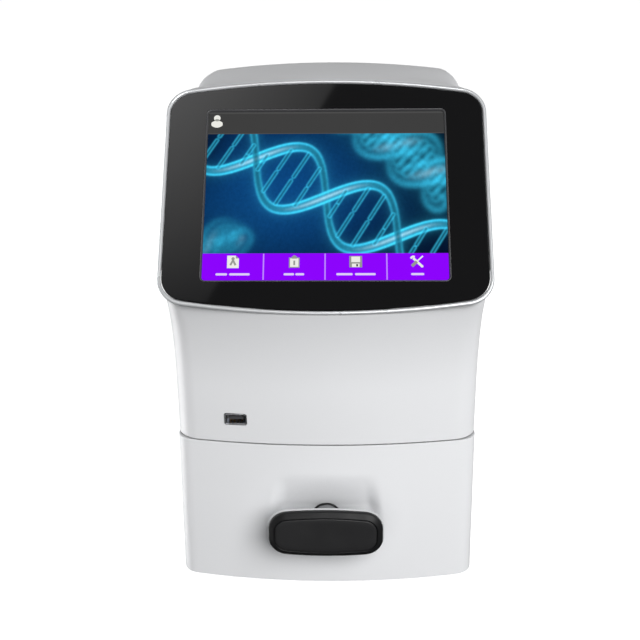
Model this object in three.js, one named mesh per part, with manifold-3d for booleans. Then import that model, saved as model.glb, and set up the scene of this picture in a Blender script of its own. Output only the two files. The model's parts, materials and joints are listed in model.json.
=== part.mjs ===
// Drawer-type thermal cycler, modelled piece by piece. Millimetres, +Z up, front towards -Y.
import * as THREE from 'three';
import { mergeVertices } from 'three/addons/utils/BufferGeometryUtils.js';
import Module from 'manifold-3d';

const wasm = await Module();
wasm.setup();

// Clearance between neighbouring pieces.
const GAP = 0.3;

// Casing.
const FRONT = -146;
const REAR = 174;
const BODY_HALF = 105;
const HEAD_HALF = 111;
const HEAD_FADE = 18;
const BOW_RADIUS = 450;
const CORNER = 13.5;
const REAR_CORNER = 14;
const WALL = 2.8;
const BOTTOM = 6.5;
const SEAM = 112.2;
const FRONT_DRAFT = 6;
const FLARE_LOW = 154;
const FLARE_HIGH = 212;
const FLARE_OUT = 9.3;

// Display plane: centre, and its tilt back from the horizontal.
const DISPLAY_TILT = THREE.MathUtils.degToRad(52.4);
const DISPLAY_Y = FRONT + 43.4;
const DISPLAY_Z = 279.35;
const HEAD_FACE = -3;
const GLASS_HALF = 107.8;
const GLASS_RISE = 83.6;
const GLASS_BOW = 9.4;
const GLASS_CORNER = 16;
const RIM = 3;
const LCD_HALF_X = 91.5;
const LCD_HALF_V = 70.5;

// Top of the casing.
const TOP_FRONT = 347.7;
const TOP_CREST = 345.4;
const CREST_Y = FRONT + 247;
const REAR_SHOULDER = 300;
const SHOULDER_FRONT = 16;
const SHOULDER_REAR = 11;
const CROWN_FRONT = 5.7;
const CROWN_WAIST = 9.2;
const CROWN_REAR = 5.6;
const WAIST_Y = FRONT + 150;
const CROWN_HALF = 95;

// Drawer.
const SPLIT = -120;
const DRAWER_TOP = SEAM - GAP;
const BLOCK_Y = -74;
const BLOCK_TOP = 97;
const WELL_PITCH = 9;
const WELL_ROWS = 8;
const WELL_COLUMNS = 12;
const WELL_RADIUS = 3.1;
const WELL_TIP = 1.6;
const WELL_DEPTH = 14.5;
const TRAY_HALF = 85.4;
const TRAY_BACK = 40;
const HANDLE_Z = 57.4;
const HANDLE_HALF = 39.1;
const HANDLE_HALF_Z = 17;
const HANDLE_BOW = 2.4;
const HANDLE_CORNER = 9.6;
const HANDLE_FRONT = FRONT - 28;
const HANDLE_BACK = FRONT - 20.8;
const HANDLE_LIP = 0.6;
const POST_Z = 53.5;
const POST_RADIUS = 9.3;
const RAIL_Z = 40;

// Heated lid and its drive.
const LID_FACE = 114;
const CARRIER_LOW = 136;
const CARRIER_HIGH = 142;
const BRIDGE_TOP = 187;
const SCREW_RADIUS = 4;
const ROD_RADIUS = 4;
const ROD_X = 46;

// Rear panel, fans and mains inlet.
const PANEL_IN = 168.6;
const PANEL_OUT = 170.6;
const OPENING_HALF = 88;
const OPENING_LOW = 14;
const OPENING_HIGH = 280;
const FAN_X = 36;
const FAN_Z = 58;
const FAN_HALF = 30;
const FAN_BORE = 28;
const FAN_DEPTH = 25;
const INLET_X = -58;
const INLET_Z = 160;

// Front socket.
const USB_X = -62.3;
const USB_Z = 129.6;

// ---------------------------------------------------------------- helpers

function solid(geometry) {
  const bare = geometry.clone();
  bare.deleteAttribute('normal');
  bare.deleteAttribute('uv');
  const merged = mergeVertices(bare, 1e-4);
  const vertProperties = new Float32Array(merged.attributes.position.array);
  const triVerts = new Uint32Array(merged.index.array);
  return new wasm.Manifold(new wasm.Mesh({ numProp: 3, vertProperties, triVerts }));
}

function shape3d(manifold) {
  const mesh = manifold.getMesh();
  const geometry = new THREE.BufferGeometry();
  const positions = new Float32Array(mesh.numVert * 3);
  for (let i = 0; i < mesh.numVert; i += 1) {
    for (let k = 0; k < 3; k += 1) {
      positions[i * 3 + k] = mesh.vertProperties[i * mesh.numProp + k];
    }
  }
  geometry.setAttribute('position', new THREE.BufferAttribute(positions, 3));
  geometry.setIndex(new THREE.BufferAttribute(new Uint32Array(mesh.triVerts), 1));
  return geometry;
}

function block(x0, x1, y0, y1, z0, z1) {
  const geometry = new THREE.BoxGeometry(x1 - x0, y1 - y0, z1 - z0);
  geometry.translate((x0 + x1) / 2, (y0 + y1) / 2, (z0 + z1) / 2);
  return solid(geometry);
}

// A closed solid through rings that all have the same number of points.
function loft(rings) {
  const count = rings[0].length;
  const positions = [];
  rings.forEach((ring) => ring.forEach((p) => positions.push(...p)));
  const index = [];
  for (let r = 0; r + 1 < rings.length; r += 1) {
    for (let i = 0; i < count; i += 1) {
      const a = r * count + i;
      const b = r * count + ((i + 1) % count);
      index.push(a, b, b + count, a, b + count, a + count);
    }
  }
  [0, rings.length - 1].forEach((r) => {
    const centre = [0, 1, 2].map((k) => rings[r].reduce((s, p) => s + p[k], 0) / count);
    const tip = positions.length / 3;
    positions.push(...centre);
    for (let i = 0; i < count; i += 1) {
      const a = r * count + i;
      const b = r * count + ((i + 1) % count);
      if (r === 0) {
        index.push(tip, b, a);
      } else {
        index.push(tip, a, b);
      }
    }
  });
  const geometry = new THREE.BufferGeometry();
  geometry.setAttribute('position', new THREE.Float32BufferAttribute(positions, 3));
  geometry.setIndex(index);
  let body = solid(geometry);
  if (body.volume() < 0) {
    for (let i = 0; i < index.length; i += 3) {
      [index[i], index[i + 1]] = [index[i + 1], index[i]];
    }
    geometry.setIndex(index);
    body = solid(geometry);
  }
  return body;
}

function round(radius, sides, low, high) {
  const geometry = new THREE.CylinderGeometry(radius, radius, high - low, sides);
  geometry.rotateX(Math.PI / 2);
  geometry.translate(0, 0, (low + high) / 2);
  return solid(geometry);
}

function roundZ(x, y, radius, sides, low, high) {
  return round(radius, sides, low, high).translate([x, y, 0]);
}

// A round bar along Y.
function roundY(x, z, radius, sides, low, high) {
  return round(radius, sides, -high, -low).rotate([90, 0, 0]).translate([x, 0, z]);
}

function joinAll(list) {
  return list.reduce((sum, item) => sum.add(item));
}

function roundedRect(halfX, halfY, radius, steps) {
  const points = [];
  const corners = [[1, -1, -90], [1, 1, 0], [-1, 1, 90], [-1, -1, 180]];
  corners.forEach(([sx, sy, start]) => {
    for (let i = 0; i <= steps; i += 1) {
      const a = THREE.MathUtils.degToRad(start + (90 * i) / steps);
      const x = sx * (halfX - radius) + radius * Math.cos(a);
      const y = sy * (halfY - radius) + radius * Math.sin(a);
      points.push([x, y]);
    }
  });
  return points;
}

// Two bowed ends and two straight sides with tangent corner arcs.
function bowedOutline(half, rise, bow, radius, steps, arcSteps) {
  const bend = (half * half) / (2 * bow);
  let a = 0;
  for (let i = 0; i < 12; i += 1) {
    a = Math.atan((half - radius + radius * Math.sin(a)) / bend);
  }
  const edge = half - radius + radius * Math.sin(a);
  const drop = (edge * edge) / (2 * bend);
  const centre = rise - drop - radius * Math.cos(a);
  const quarter = [];
  for (let i = 0; i <= arcSteps; i += 1) {
    const t = (Math.PI / 2 - a) * (i / arcSteps);
    quarter.push([half - radius + radius * Math.cos(t), centre + radius * Math.sin(t)]);
  }
  const ends = [];
  for (let i = 1; i < steps; i += 1) {
    const x = edge - (2 * edge * i) / steps;
    ends.push([x, rise - (x * x) / (2 * bend)]);
  }
  const top = quarter.concat(ends, quarter.map(([x, y]) => [-x, y]).reverse());
  return top.concat(top.map(([x, y]) => [-x, -y]));
}

function onDisplay(x, v, n) {
  const c = Math.cos(DISPLAY_TILT);
  const s = Math.sin(DISPLAY_TILT);
  return [x, DISPLAY_Y + v * c - n * s, DISPLAY_Z + v * s + n * c];
}

function displayLoft(outlines) {
  return loft(outlines.map(([points, n]) => points.map(([x, v]) => onDisplay(x, v, n))));
}

function displayBlock(halfX, v0, v1, n0, n1) {
  const points = [[-halfX, v0], [halfX, v0], [halfX, v1], [-halfX, v1]];
  return displayLoft([[points, n0], [points, n1]]);
}

// ---------------------------------------------------------------- casing form

function flare(z) {
  const t = THREE.MathUtils.clamp((z - FLARE_LOW) / (FLARE_HIGH - FLARE_LOW), 0, 1);
  return FLARE_OUT * t * t;
}

function frontAt(z) {
  const draft = z < SEAM ? (FRONT_DRAFT * (SEAM - z)) / (SEAM - BOTTOM) : 0;
  return FRONT - draft - flare(z);
}

function depthBehind(y, z) {
  const s = Math.sin(DISPLAY_TILT);
  const c = Math.cos(DISPLAY_TILT);
  return (DISPLAY_Y - y) * s + (z - DISPLAY_Z) * c;
}

function halfAt(n) {
  return BODY_HALF + (HEAD_HALF - BODY_HALF) * Math.exp(Math.min(n, 0) / HEAD_FADE);
}

function planRing(z, inset) {
  const yFront = frontAt(z) + inset;
  const half = halfAt(Math.min(depthBehind(yFront, z), 0)) - inset;
  const radius = CORNER - inset * 0.6;
  const rear = REAR_CORNER - inset * 0.6;
  let a = 0;
  for (let i = 0; i < 12; i += 1) {
    a = Math.atan((half - radius + radius * Math.sin(a)) / BOW_RADIUS);
  }
  const edge = half - radius + radius * Math.sin(a);
  const centre = yFront + (edge * edge) / (2 * BOW_RADIUS) + radius * Math.cos(a);
  const right = [];
  for (let i = 0; i <= 4; i += 1) {
    const t = (a - Math.PI / 2) * (1 - i / 4);
    right.push([half - radius + radius * Math.cos(t), centre + radius * Math.sin(t)]);
  }
  for (let i = 0; i <= 3; i += 1) {
    const t = (Math.PI / 2) * (i / 3);
    right.push([half - rear + rear * Math.cos(t), REAR - inset - rear + rear * Math.sin(t)]);
  }
  const front = [];
  for (let i = 1; i < 8; i += 1) {
    const x = -edge + (2 * edge * i) / 8;
    front.push([x, yFront + (x * x) / (2 * BOW_RADIUS)]);
  }
  const left = right.map(([x, y]) => [-x, y]).reverse();
  return front.concat(right, left).map(([x, y]) => [x, y, z]);
}

function crestAt(y) {
  if (y <= FRONT + 96) {
    return TOP_FRONT;
  }
  if (y <= CREST_Y) {
    const t = (y - FRONT - 96) / (CREST_Y - FRONT - 96);
    return TOP_FRONT + (TOP_CREST - TOP_FRONT) * t * t;
  }
  const t = Math.min((y - CREST_Y) / (REAR - CREST_Y), 1);
  return REAR_SHOULDER + (TOP_CREST - REAR_SHOULDER) * Math.sqrt(1 - t * t);
}

// The top drops most towards its sides at a waist behind the head, and least over the rear.
function crownAt(y) {
  const rise = THREE.MathUtils.smoothstep(y, FRONT + 96, WAIST_Y);
  const fall = THREE.MathUtils.smoothstep(y, WAIST_Y, FRONT + 216);
  return CROWN_FRONT + (CROWN_WAIST - CROWN_FRONT) * rise + (CROWN_REAR - CROWN_WAIST) * fall;
}

function topSection(y, inset) {
  const crown = crownAt(y);
  const rear = THREE.MathUtils.smoothstep(y, WAIST_Y, FRONT + 216);
  const half = halfAt(-Math.max(y - FRONT - 96, 0) * Math.sin(DISPLAY_TILT)) - inset;
  const radius = SHOULDER_FRONT + (SHOULDER_REAR - SHOULDER_FRONT) * rear - inset * 0.6;
  const bend = (CROWN_HALF * CROWN_HALF) / (2 * crown);
  let a = 0;
  for (let i = 0; i < 12; i += 1) {
    a = Math.atan((half - radius + radius * Math.sin(a)) / bend);
  }
  const edge = half - radius + radius * Math.sin(a);
  const top = crestAt(Math.min(y, REAR - inset)) - inset;
  const centre = top - (edge * edge) / (2 * bend) - radius * Math.cos(a);
  const right = [[half, 60]];
  for (let i = 0; i <= 4; i += 1) {
    const u = (Math.PI / 2 - a) * (i / 4);
    right.push([half - radius + radius * Math.cos(u), centre + radius * Math.sin(u)]);
  }
  const ends = [];
  for (let i = 1; i < 8; i += 1) {
    const x = edge - (2 * edge * i) / 8;
    ends.push([x, top - (x * x) / (2 * bend)]);
  }
  const left = right.map(([x, z]) => [-x, z]).reverse();
  return right.concat(ends, left).map(([x, z]) => [x, y, z]);
}

// The whole upper casing as a solid, shrunk by the given inset, with its face on the display plane.
function headForm(inset, face) {
  const levels = [SEAM - inset * 2, 137, FLARE_LOW, 165, 175, 185, 194, 203, FLARE_HIGH, 370];
  const plan = loft(levels.map((z) => planRing(z, inset)));
  const head = [FRONT - 40, FRONT + 96, FRONT + 120, WAIST_Y];
  const stations = [...head, FRONT + 175, FRONT + 196, FRONT + 216, CREST_Y];
  const tail = [0.35, 0.6, 0.8, 0.92, 0.985].map((t) => CREST_Y + (REAR - CREST_Y) * t);
  const ends = [REAR + 5];
  const sections = stations.concat(tail, ends).map((y) => topSection(y, inset));
  const depths = [face, -8, -14, -21, -30, -42, -60, -400];
  const slabs = depths.map((n) => {
    const half = halfAt(n) - inset;
    const points = [[-half, -420], [half, -420], [half, 420], [-half, 420]];
    return points.map(([x, v]) => onDisplay(x, v, n));
  });
  return plan.intersect(loft(sections)).intersect(loft(slabs));
}

// ---------------------------------------------------------------- materials

function material(color, roughness, metalness) {
  return new THREE.MeshStandardMaterial({ color, roughness, metalness });
}

const shellPlastic = () => material(0xe4e5e6, 0.42, 0);
const blackPlastic = () => material(0x161618, 0.45, 0);
const glossBlack = () => material(0x08080a, 0.12, 0);
const rimSilver = () => material(0xc2c4c6, 0.3, 0.6);
const rubber = () => material(0x1c1c1c, 0.85, 0);
const sheetSteel = () => material(0xa9abad, 0.4, 0.85);
const aluminium = () => material(0xc8cacc, 0.35, 0.9);
const darkAluminium = () => material(0x4a4d50, 0.45, 0.7);
const brass = () => material(0xb08d48, 0.35, 0.9);
const steel = () => material(0x8d9093, 0.3, 0.95);
const ceramic = () => material(0xf0efea, 0.6, 0);
const board = () => material(0x1d5c37, 0.55, 0.05);
const greyPlastic = () => material(0x8b8e91, 0.5, 0);
const heaterBlack = () => material(0x222326, 0.4, 0.5);
const foamBlue = () => material(0x2a3138, 0.9, 0);
const screenBlue = () => material(0x0b2f66, 0.3, 0);

// ---------------------------------------------------------------- casing pieces

function upperHousing() {
  let body = headForm(0, HEAD_FACE).subtract(headForm(WALL, HEAD_FACE - WALL));
  body = body.subtract(block(-200, 200, -300, 300, 0, SEAM));
  body = body.subtract(displayBlock(LCD_HALF_X + 2, -LCD_HALF_V - 2, LCD_HALF_V + 2, -9, 2));
  body = body.subtract(block(USB_X - 8, USB_X + 8, FRONT - 10, FRONT + 20, USB_Z - 4.4, USB_Z + 4.4));
  body = body.subtract(block(-OPENING_HALF, OPENING_HALF, 160, 190, SEAM - 5, OPENING_HIGH));
  return body;
}

function lowerHousing() {
  const outer = loft([planRing(BOTTOM, 0), planRing(SEAM - GAP, 0)]);
  const inner = loft([planRing(BOTTOM - 2, WALL), planRing(SEAM + 2, WALL)]);
  const cavity = inner.subtract(block(-200, 200, -300, SPLIT + 3, 0, 200));
  let body = outer.subtract(cavity).subtract(block(-200, 200, -300, SPLIT + 0.15, 0, 200));
  body = body.subtract(block(-93.6, 93.6, SPLIT - 5, SPLIT + 8, 12.5, 200));
  body = body.subtract(block(-OPENING_HALF, OPENING_HALF, 160, 190, OPENING_LOW, 200));
  return body;
}

function baseSlots() {
  const slots = [];
  for (let i = 0; i < 9; i += 1) {
    const y = -104 + i * 9;
    slots.push(block(-44, -8, y, y + 3.2, 0, 20));
    slots.push(block(8, 44, y, y + 3.2, 0, 20));
  }
  return joinAll(slots);
}

function basePlate() {
  const half = BODY_HALF - WALL - GAP;
  const low = SPLIT + 3 + GAP;
  const high = REAR - WALL - GAP;
  const cut = 11.5;
  const outline = [
    [-half, low], [half, low], [half, high - cut], [half - cut, high],
    [-half + cut, high], [-half, high - cut],
  ];
  const ring = (z) => outline.map(([x, y]) => [x, y, z]);
  return loft([ring(BOTTOM), ring(BOTTOM + 2)]).subtract(baseSlots());
}

function foot(x, y) {
  const profile = [[0, 0], [9.2, 0], [10.4, 0.9], [11, 5.2], [10.6, BOTTOM - GAP], [0, BOTTOM - GAP]];
  const lathe = new THREE.LatheGeometry(profile.map(([r, z]) => new THREE.Vector2(r, z)), 18);
  lathe.rotateX(Math.PI / 2);
  lathe.translate(x, y, 0);
  return solid(lathe);
}

function rearPanel() {
  let body = block(-92, 92, PANEL_IN, PANEL_OUT, BOTTOM + 2 + GAP, 284);
  [-FAN_X, FAN_X].forEach((x) => {
    for (let i = 0; i < 7; i += 1) {
      const z = FAN_Z - 24 + i * 8;
      const reach = Math.sqrt(27 * 27 - (z - FAN_Z) * (z - FAN_Z));
      body = body.subtract(block(x - reach, x + reach, 160, 180, z - 2, z + 2));
    }
  });
  for (let i = 0; i < 8; i += 1) {
    const z = 214 + i * 7.5;
    body = body.subtract(block(-64, 64, 160, 180, z, z + 3));
  }
  return body.subtract(block(INLET_X - 14, INLET_X + 14, 160, 180, INLET_Z - 24, INLET_Z + 24));
}

function chassisPlate(side) {
  const x0 = side > 0 ? 96 : -98;
  const z0 = BOTTOM + 2 + GAP;
  let body = block(x0, x0 + 2, SPLIT + 4, 140, z0, SEAM - 2);
  for (let i = 0; i < 3; i += 1) {
    body = body.subtract(roundX(x0 - 1, x0 + 3, 70 + i * 24, 88, 7, 12));
  }
  return body;
}

function roundX(x0, x1, y, z, radius, sides) {
  return round(radius, sides, x0, x1).rotate([0, 90, 0]).translate([0, y, z]);
}

function midShelf() {
  const z0 = SEAM - 2 + GAP;
  const plate = block(-99, 99, -20, 162, z0, z0 + 1.6);
  const lip = block(-99, 99, -20, -18.4, z0, z0 + 10);
  return plate.add(lip);
}

// ---------------------------------------------------------------- display pieces

function glassOutline(grow) {
  const half = GLASS_HALF + grow;
  return bowedOutline(half, GLASS_RISE + grow, GLASS_BOW, GLASS_CORNER + grow, 10, 5);
}

function bezelRing() {
  const outer = displayLoft([
    [glassOutline(RIM - 0.2), HEAD_FACE + GAP],
    [glassOutline(RIM), HEAD_FACE + 1.2],
    [glassOutline(RIM), -0.6],
    [glassOutline(RIM - 1.2), 0.6],
  ]);
  const inner = displayLoft([
    [glassOutline(GAP), HEAD_FACE - 2],
    [glassOutline(GAP), -0.2],
    [glassOutline(GAP + 0.8), 1.4],
  ]);
  return outer.subtract(inner);
}

function displayGlass() {
  return displayLoft([
    [glassOutline(-0.4), HEAD_FACE + GAP],
    [glassOutline(0), HEAD_FACE + GAP + 0.4],
    [glassOutline(0), -0.35],
    [glassOutline(-0.5), 0],
  ]);
}

function lcdPanel() {
  const front = HEAD_FACE - 0.2;
  const body = displayBlock(LCD_HALF_X, -LCD_HALF_V, LCD_HALF_V, front - 6, front);
  return body.subtract(displayBlock(81.6, -62.6, 62.6, front - 0.5, front + 2));
}

function displayBracket() {
  const front = HEAD_FACE - 6.6;
  const plate = displayBlock(98, -75, 74, front - 1.5, front);
  return plate.subtract(displayBlock(60, -40, 40, front - 5, front + 5));
}

function displayBoard() {
  const front = HEAD_FACE - 12;
  const chip = (x, v, half, height) => {
    const outline = [
      [x - half, v - half], [x + half, v - half], [x + half, v + half], [x - half, v + half],
    ];
    return displayLoft([[outline, front - 1.6 - height], [outline, front - 1]]);
  };
  return joinAll([
    displayBlock(70, -48, 48, front - 1.6, front),
    chip(-30, 8, 11, 2.2),
    chip(10, -20, 7, 1.8),
    chip(40, 20, 9, 6),
    chip(46, -30, 6, 8),
  ]);
}

function usbPort() {
  const y0 = FRONT + 4.4;
  const shell = block(USB_X - 7.4, USB_X + 7.4, y0, y0 + 14, USB_Z - 3.7, USB_Z + 3.7);
  const hollow = block(USB_X - 6.6, USB_X + 6.6, y0 - 1, y0 + 12.5, USB_Z - 2.9, USB_Z + 2.9);
  const tongue = block(USB_X - 5.6, USB_X + 5.6, y0 + 5.2, y0 + 13, USB_Z - 0.2, USB_Z + 1.9);
  return shell.subtract(hollow).add(tongue);
}

// ---------------------------------------------------------------- electronics

function mainBoard() {
  const parts = [block(-74, -72.4, 4, 150, 116, 246)];
  const layout = [[40, 170, 14, 3], [90, 150, 9, 9], [110, 200, 11, 4], [60, 220, 8, 12], [130, 134, 7, 10]];
  layout.forEach(([y, z, half, high]) => {
    parts.push(block(-73, -72.4 + high, y - half, y + half, z - half, z + half));
  });
  for (let i = 0; i < 4; i += 1) {
    parts.push(roundX(-73, -58, 30 + i * 16, 236, 5, 10));
  }
  return joinAll(parts);
}

function powerSupply() {
  const z0 = SEAM + 0.5;
  let body = block(22, 92, 4, 150, z0, z0 + 46);
  for (let i = 0; i < 7; i += 1) {
    const y = 24 + i * 16;
    body = body.subtract(block(34, 80, y, y + 6, z0 + 44, z0 + 60));
  }
  return body.subtract(block(30, 84, 148, 155, z0 + 10, z0 + 30));
}

function inletModule() {
  const y0 = PANEL_OUT + GAP;
  const flange = block(INLET_X - 16, INLET_X + 16, y0, y0 + 2, INLET_Z - 28, INLET_Z + 28);
  const low = INLET_Z - 23.4;
  const high = INLET_Z + 23.4;
  const trunk = block(INLET_X - 13.4, INLET_X + 13.4, PANEL_IN - 20, y0 + 1, low, high);
  let body = flange.add(trunk);
  body = body.subtract(block(INLET_X - 12, INLET_X + 12, y0 - 15, y0 + 5, INLET_Z - 22, INLET_Z - 5));
  body = body.subtract(block(INLET_X - 10.5, INLET_X + 10.5, y0 - 16, y0 + 5, INLET_Z - 2.4, INLET_Z + 4.4));
  body = body.subtract(block(INLET_X - 10.5, INLET_X + 10.5, y0 - 14, y0 + 5, INLET_Z + 7, INLET_Z + 21));
  [[-7, -11.5], [0, -15.5], [7, -11.5]].forEach(([dx, dz]) => {
    const x = INLET_X + dx;
    const z = INLET_Z + dz;
    body = body.add(block(x - 1, x + 1, y0 - 16, y0 - 3.6, z - 2, z + 2));
  });
  return body;
}

function fuseDrawer() {
  const y0 = PANEL_OUT + GAP;
  const low = INLET_Z - 2.4 + GAP;
  const high = INLET_Z + 4.4 - GAP;
  const body = block(INLET_X - 10.2, INLET_X + 10.2, y0 - 14, y0 + 2, low, high);
  const lip = block(INLET_X - 6, INLET_X + 6, y0 + 1.5, y0 + 2.8, high - 1.6, high);
  const pocket = block(INLET_X - 8.8, INLET_X + 8.8, y0 - 12.6, y0 - 1, low + 1.1, high + 1);
  return body.add(lip).subtract(pocket);
}

// The rocker's faces slope down from a middle ridge, and it rests with one half pressed in.
function powerRocker() {
  const y0 = PANEL_OUT + GAP;
  const z = INLET_Z + 14;
  const outline = [[-6.1, -1.2], [-6.1, 1.6], [0, 0.6], [6.1, 1.6], [6.1, -1.2], [3.5, -5], [-3.5, -5]];
  const ring = (x) => outline.map(([dz, dy]) => [x, dy, dz]);
  const body = loft([ring(-9.7), ring(9.7)]);
  return body.rotate([-9, 0, 0]).translate([INLET_X, y0, z]);
}

function fanFrame(x) {
  const y0 = PANEL_IN - GAP - FAN_DEPTH;
  const y1 = PANEL_IN - GAP;
  const half = FAN_HALF;
  let body = block(x - half, x + half, y0, y1, FAN_Z - half, FAN_Z + half);
  body = body.subtract(roundY(x, FAN_Z, FAN_BORE, 28, y0 - 1, y1 + 1));
  const hub = roundY(x, FAN_Z, 11, 14, y0, y0 + 3);
  const arms = joinAll([
    block(x - 29, x + 29, y0, y0 + 2.4, FAN_Z - 1.5, FAN_Z + 1.5),
    block(x - 1.5, x + 1.5, y0, y0 + 2.4, FAN_Z - 29, FAN_Z + 29),
  ]);
  return body.add(hub).add(arms);
}

function fanRotor(x) {
  const y0 = PANEL_IN - GAP - FAN_DEPTH + 4;
  const hub = roundY(x, FAN_Z, 11, 14, y0, y0 + 19);
  const blades = [];
  for (let i = 0; i < 7; i += 1) {
    const ring = (r, wide) => [
      [r, y0 + 2, -wide], [r, y0 + 2, -wide + 1.6], [r, y0 + 16, wide], [r, y0 + 16, wide - 1.6],
    ];
    const blade = loft([ring(9, 4), ring(18, 7), ring(26.2, 9)]);
    blades.push(blade.rotate([0, (360 * i) / 7, 0]).translate([x, 0, FAN_Z]));
  }
  return joinAll([hub].concat(blades));
}

function airDuct() {
  const outer = block(-69, 69, 46, PANEL_IN - GAP - FAN_DEPTH - GAP, 21, 95);
  return outer.subtract(block(-67.4, 67.4, 40, 150, 22.6, 93.4));
}

// ---------------------------------------------------------------- heated lid

function lidBridge() {
  const y0 = BLOCK_Y - 36;
  const y1 = BLOCK_Y + 36;
  const outer = block(-99, 99, y0, y1, SEAM - 2 + GAP, BRIDGE_TOP);
  let body = outer.subtract(block(-96, 96, y0 - 1, y1 + 1, 100, BRIDGE_TOP - 3));
  body = body.subtract(roundZ(0, BLOCK_Y, SCREW_RADIUS + 2, 20, 170, 200));
  const sideSlots = block(-96.5, 96.5, y0 + 12, y1 - 12, 130, 165);
  return body.subtract(sideSlots.subtract(block(-95, 95, -200, 0, 0, 200)));
}

function lidMotor() {
  const low = BRIDGE_TOP + GAP;
  const ring = (half, cut, z) => {
    const h = half;
    const points = [
      [h - cut, -h], [h, -h + cut], [h, h - cut], [h - cut, h],
      [-h + cut, h], [-h, h - cut], [-h, -h + cut], [-h + cut, -h],
    ];
    return points.map(([x, y]) => [x, y + BLOCK_Y, z]);
  };
  const body = joinAll([
    loft([ring(21, 3, low), ring(21, 3, low + 9)]),
    loft([ring(20.4, 6, low + 8.5), ring(20.4, 6, low + 25.5)]),
    loft([ring(21, 3, low + 25), ring(21, 3, low + 34)]),
  ]);
  return body.subtract(roundZ(0, BLOCK_Y, SCREW_RADIUS + 1, 20, low - 1, low + 14));
}

function leadScrew() {
  const profile = [[0, 128]];
  const turns = 15;
  profile.push([3, 128]);
  for (let i = 0; i < turns; i += 1) {
    const z = 129 + i * 3.2;
    profile.push([SCREW_RADIUS, z + 0.6]);
    profile.push([SCREW_RADIUS, z + 1.4]);
    profile.push([3.4, z + 2]);
    profile.push([3.4, z + 2.8]);
  }
  profile.push([3.4, BRIDGE_TOP + 12]);
  profile.push([0, BRIDGE_TOP + 12]);
  const lathe = new THREE.LatheGeometry(profile.map(([r, z]) => new THREE.Vector2(r, z)), 12);
  lathe.rotateX(Math.PI / 2);
  lathe.translate(0, BLOCK_Y, 0);
  return solid(lathe);
}

function guideRod(x) {
  return roundZ(x, BLOCK_Y, ROD_RADIUS, 20, 126, BRIDGE_TOP - 3 - GAP);
}

function lidCarrier() {
  const ring = (z) => roundedRect(66, 45, 6, 3).map(([x, y]) => [x, y + BLOCK_Y, z]);
  let body = loft([ring(CARRIER_LOW), ring(CARRIER_HIGH)]);
  [-ROD_X, ROD_X].forEach((x) => {
    body = body.add(roundZ(x, BLOCK_Y, 8, 20, CARRIER_HIGH - 1, CARRIER_HIGH + 12));
    body = body.subtract(roundZ(x, BLOCK_Y, ROD_RADIUS + GAP, 20, 130, 160));
  });
  return body.subtract(roundZ(0, BLOCK_Y, 6.3, 20, 130, 160));
}

function lidNut() {
  const low = CARRIER_HIGH + GAP;
  const flange = roundZ(0, BLOCK_Y, 12, 20, low, low + 4);
  const barrel = roundZ(0, BLOCK_Y, 6, 20, CARRIER_LOW + 1, low + 10);
  return flange.add(barrel).subtract(roundZ(0, BLOCK_Y, SCREW_RADIUS + 0.35, 20, 130, 170));
}

function heaterPlate() {
  const ring = (grow, z) => roundedRect(57 + grow, 39 + grow, 4, 2).map(([x, y]) => [x, y + BLOCK_Y, z]);
  return loft([ring(-1, LID_FACE), ring(0, LID_FACE + 1), ring(0, LID_FACE + 7)]);
}

function lidSkirt() {
  const ring = (hx, hy, z) => roundedRect(hx, hy, 5, 3).map(([x, y]) => [x, y + BLOCK_Y, z]);
  const outer = loft([ring(62, 42.6, LID_FACE + 1.5), ring(63, 43.2, CARRIER_LOW - GAP)]);
  return outer.subtract(loft([ring(57.5, 39.5, LID_FACE), ring(57.5, 39.5, CARRIER_LOW + 2)]));
}

function lidSpring(x, y) {
  const low = LID_FACE + 7 + GAP + 1;
  const high = CARRIER_LOW - GAP - 1;
  const points = [];
  const turns = 4;
  const steps = turns * 8;
  for (let i = 0; i <= steps; i += 1) {
    const a = (2 * Math.PI * i) / 8;
    points.push(new THREE.Vector3(4 * Math.cos(a), 4 * Math.sin(a), low + ((high - low) * i) / steps));
  }
  const wire = new THREE.Shape();
  wire.moveTo(0.6, 0);
  wire.lineTo(0, 0.6);
  wire.lineTo(-0.6, 0);
  wire.lineTo(0, -0.6);
  wire.closePath();
  const path = new THREE.CatmullRomCurve3(points);
  const geometry = new THREE.ExtrudeGeometry(wire, { steps, bevelEnabled: false, extrudePath: path });
  geometry.translate(x, y, 0);
  return solid(geometry);
}

// ---------------------------------------------------------------- drawer

function drawerFront() {
  const outer = loft([planRing(BOTTOM, 0), planRing(DRAWER_TOP, 0)]);
  const innerRing = (z) => planRing(z, WALL);
  let cavity = loft([innerRing(BOTTOM + 2.8), innerRing(DRAWER_TOP - 2.8)]);
  cavity = cavity.subtract(block(-44, 44, -200, FRONT + 11, 26, 98));
  let body = outer.subtract(cavity).subtract(block(-200, 200, SPLIT - 0.15, 300, 0, 300));
  const scoop = (hx, low, high, y) => {
    const mid = (low + high) / 2;
    const points = roundedRect(hx, (high - low) / 2, Math.min(14, hx * 0.4), 3);
    return points.map(([x, z]) => [x, y, z + mid]);
  };
  body = body.subtract(loft([
    scoop(46, 22, 98, FRONT - 14),
    scoop(37, 32, 90, FRONT - 2),
    scoop(33, 37, 84, FRONT + 4),
    scoop(26, 44, 74, FRONT + 7.5),
  ]));
  return body;
}

function handleRing(grow, y) {
  const half = HANDLE_HALF + grow;
  const rise = HANDLE_HALF_Z + grow;
  const points = bowedOutline(half, rise, HANDLE_BOW, HANDLE_CORNER + grow, 6, 4);
  return points.map(([x, z]) => [x, y, z + HANDLE_Z]);
}

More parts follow.
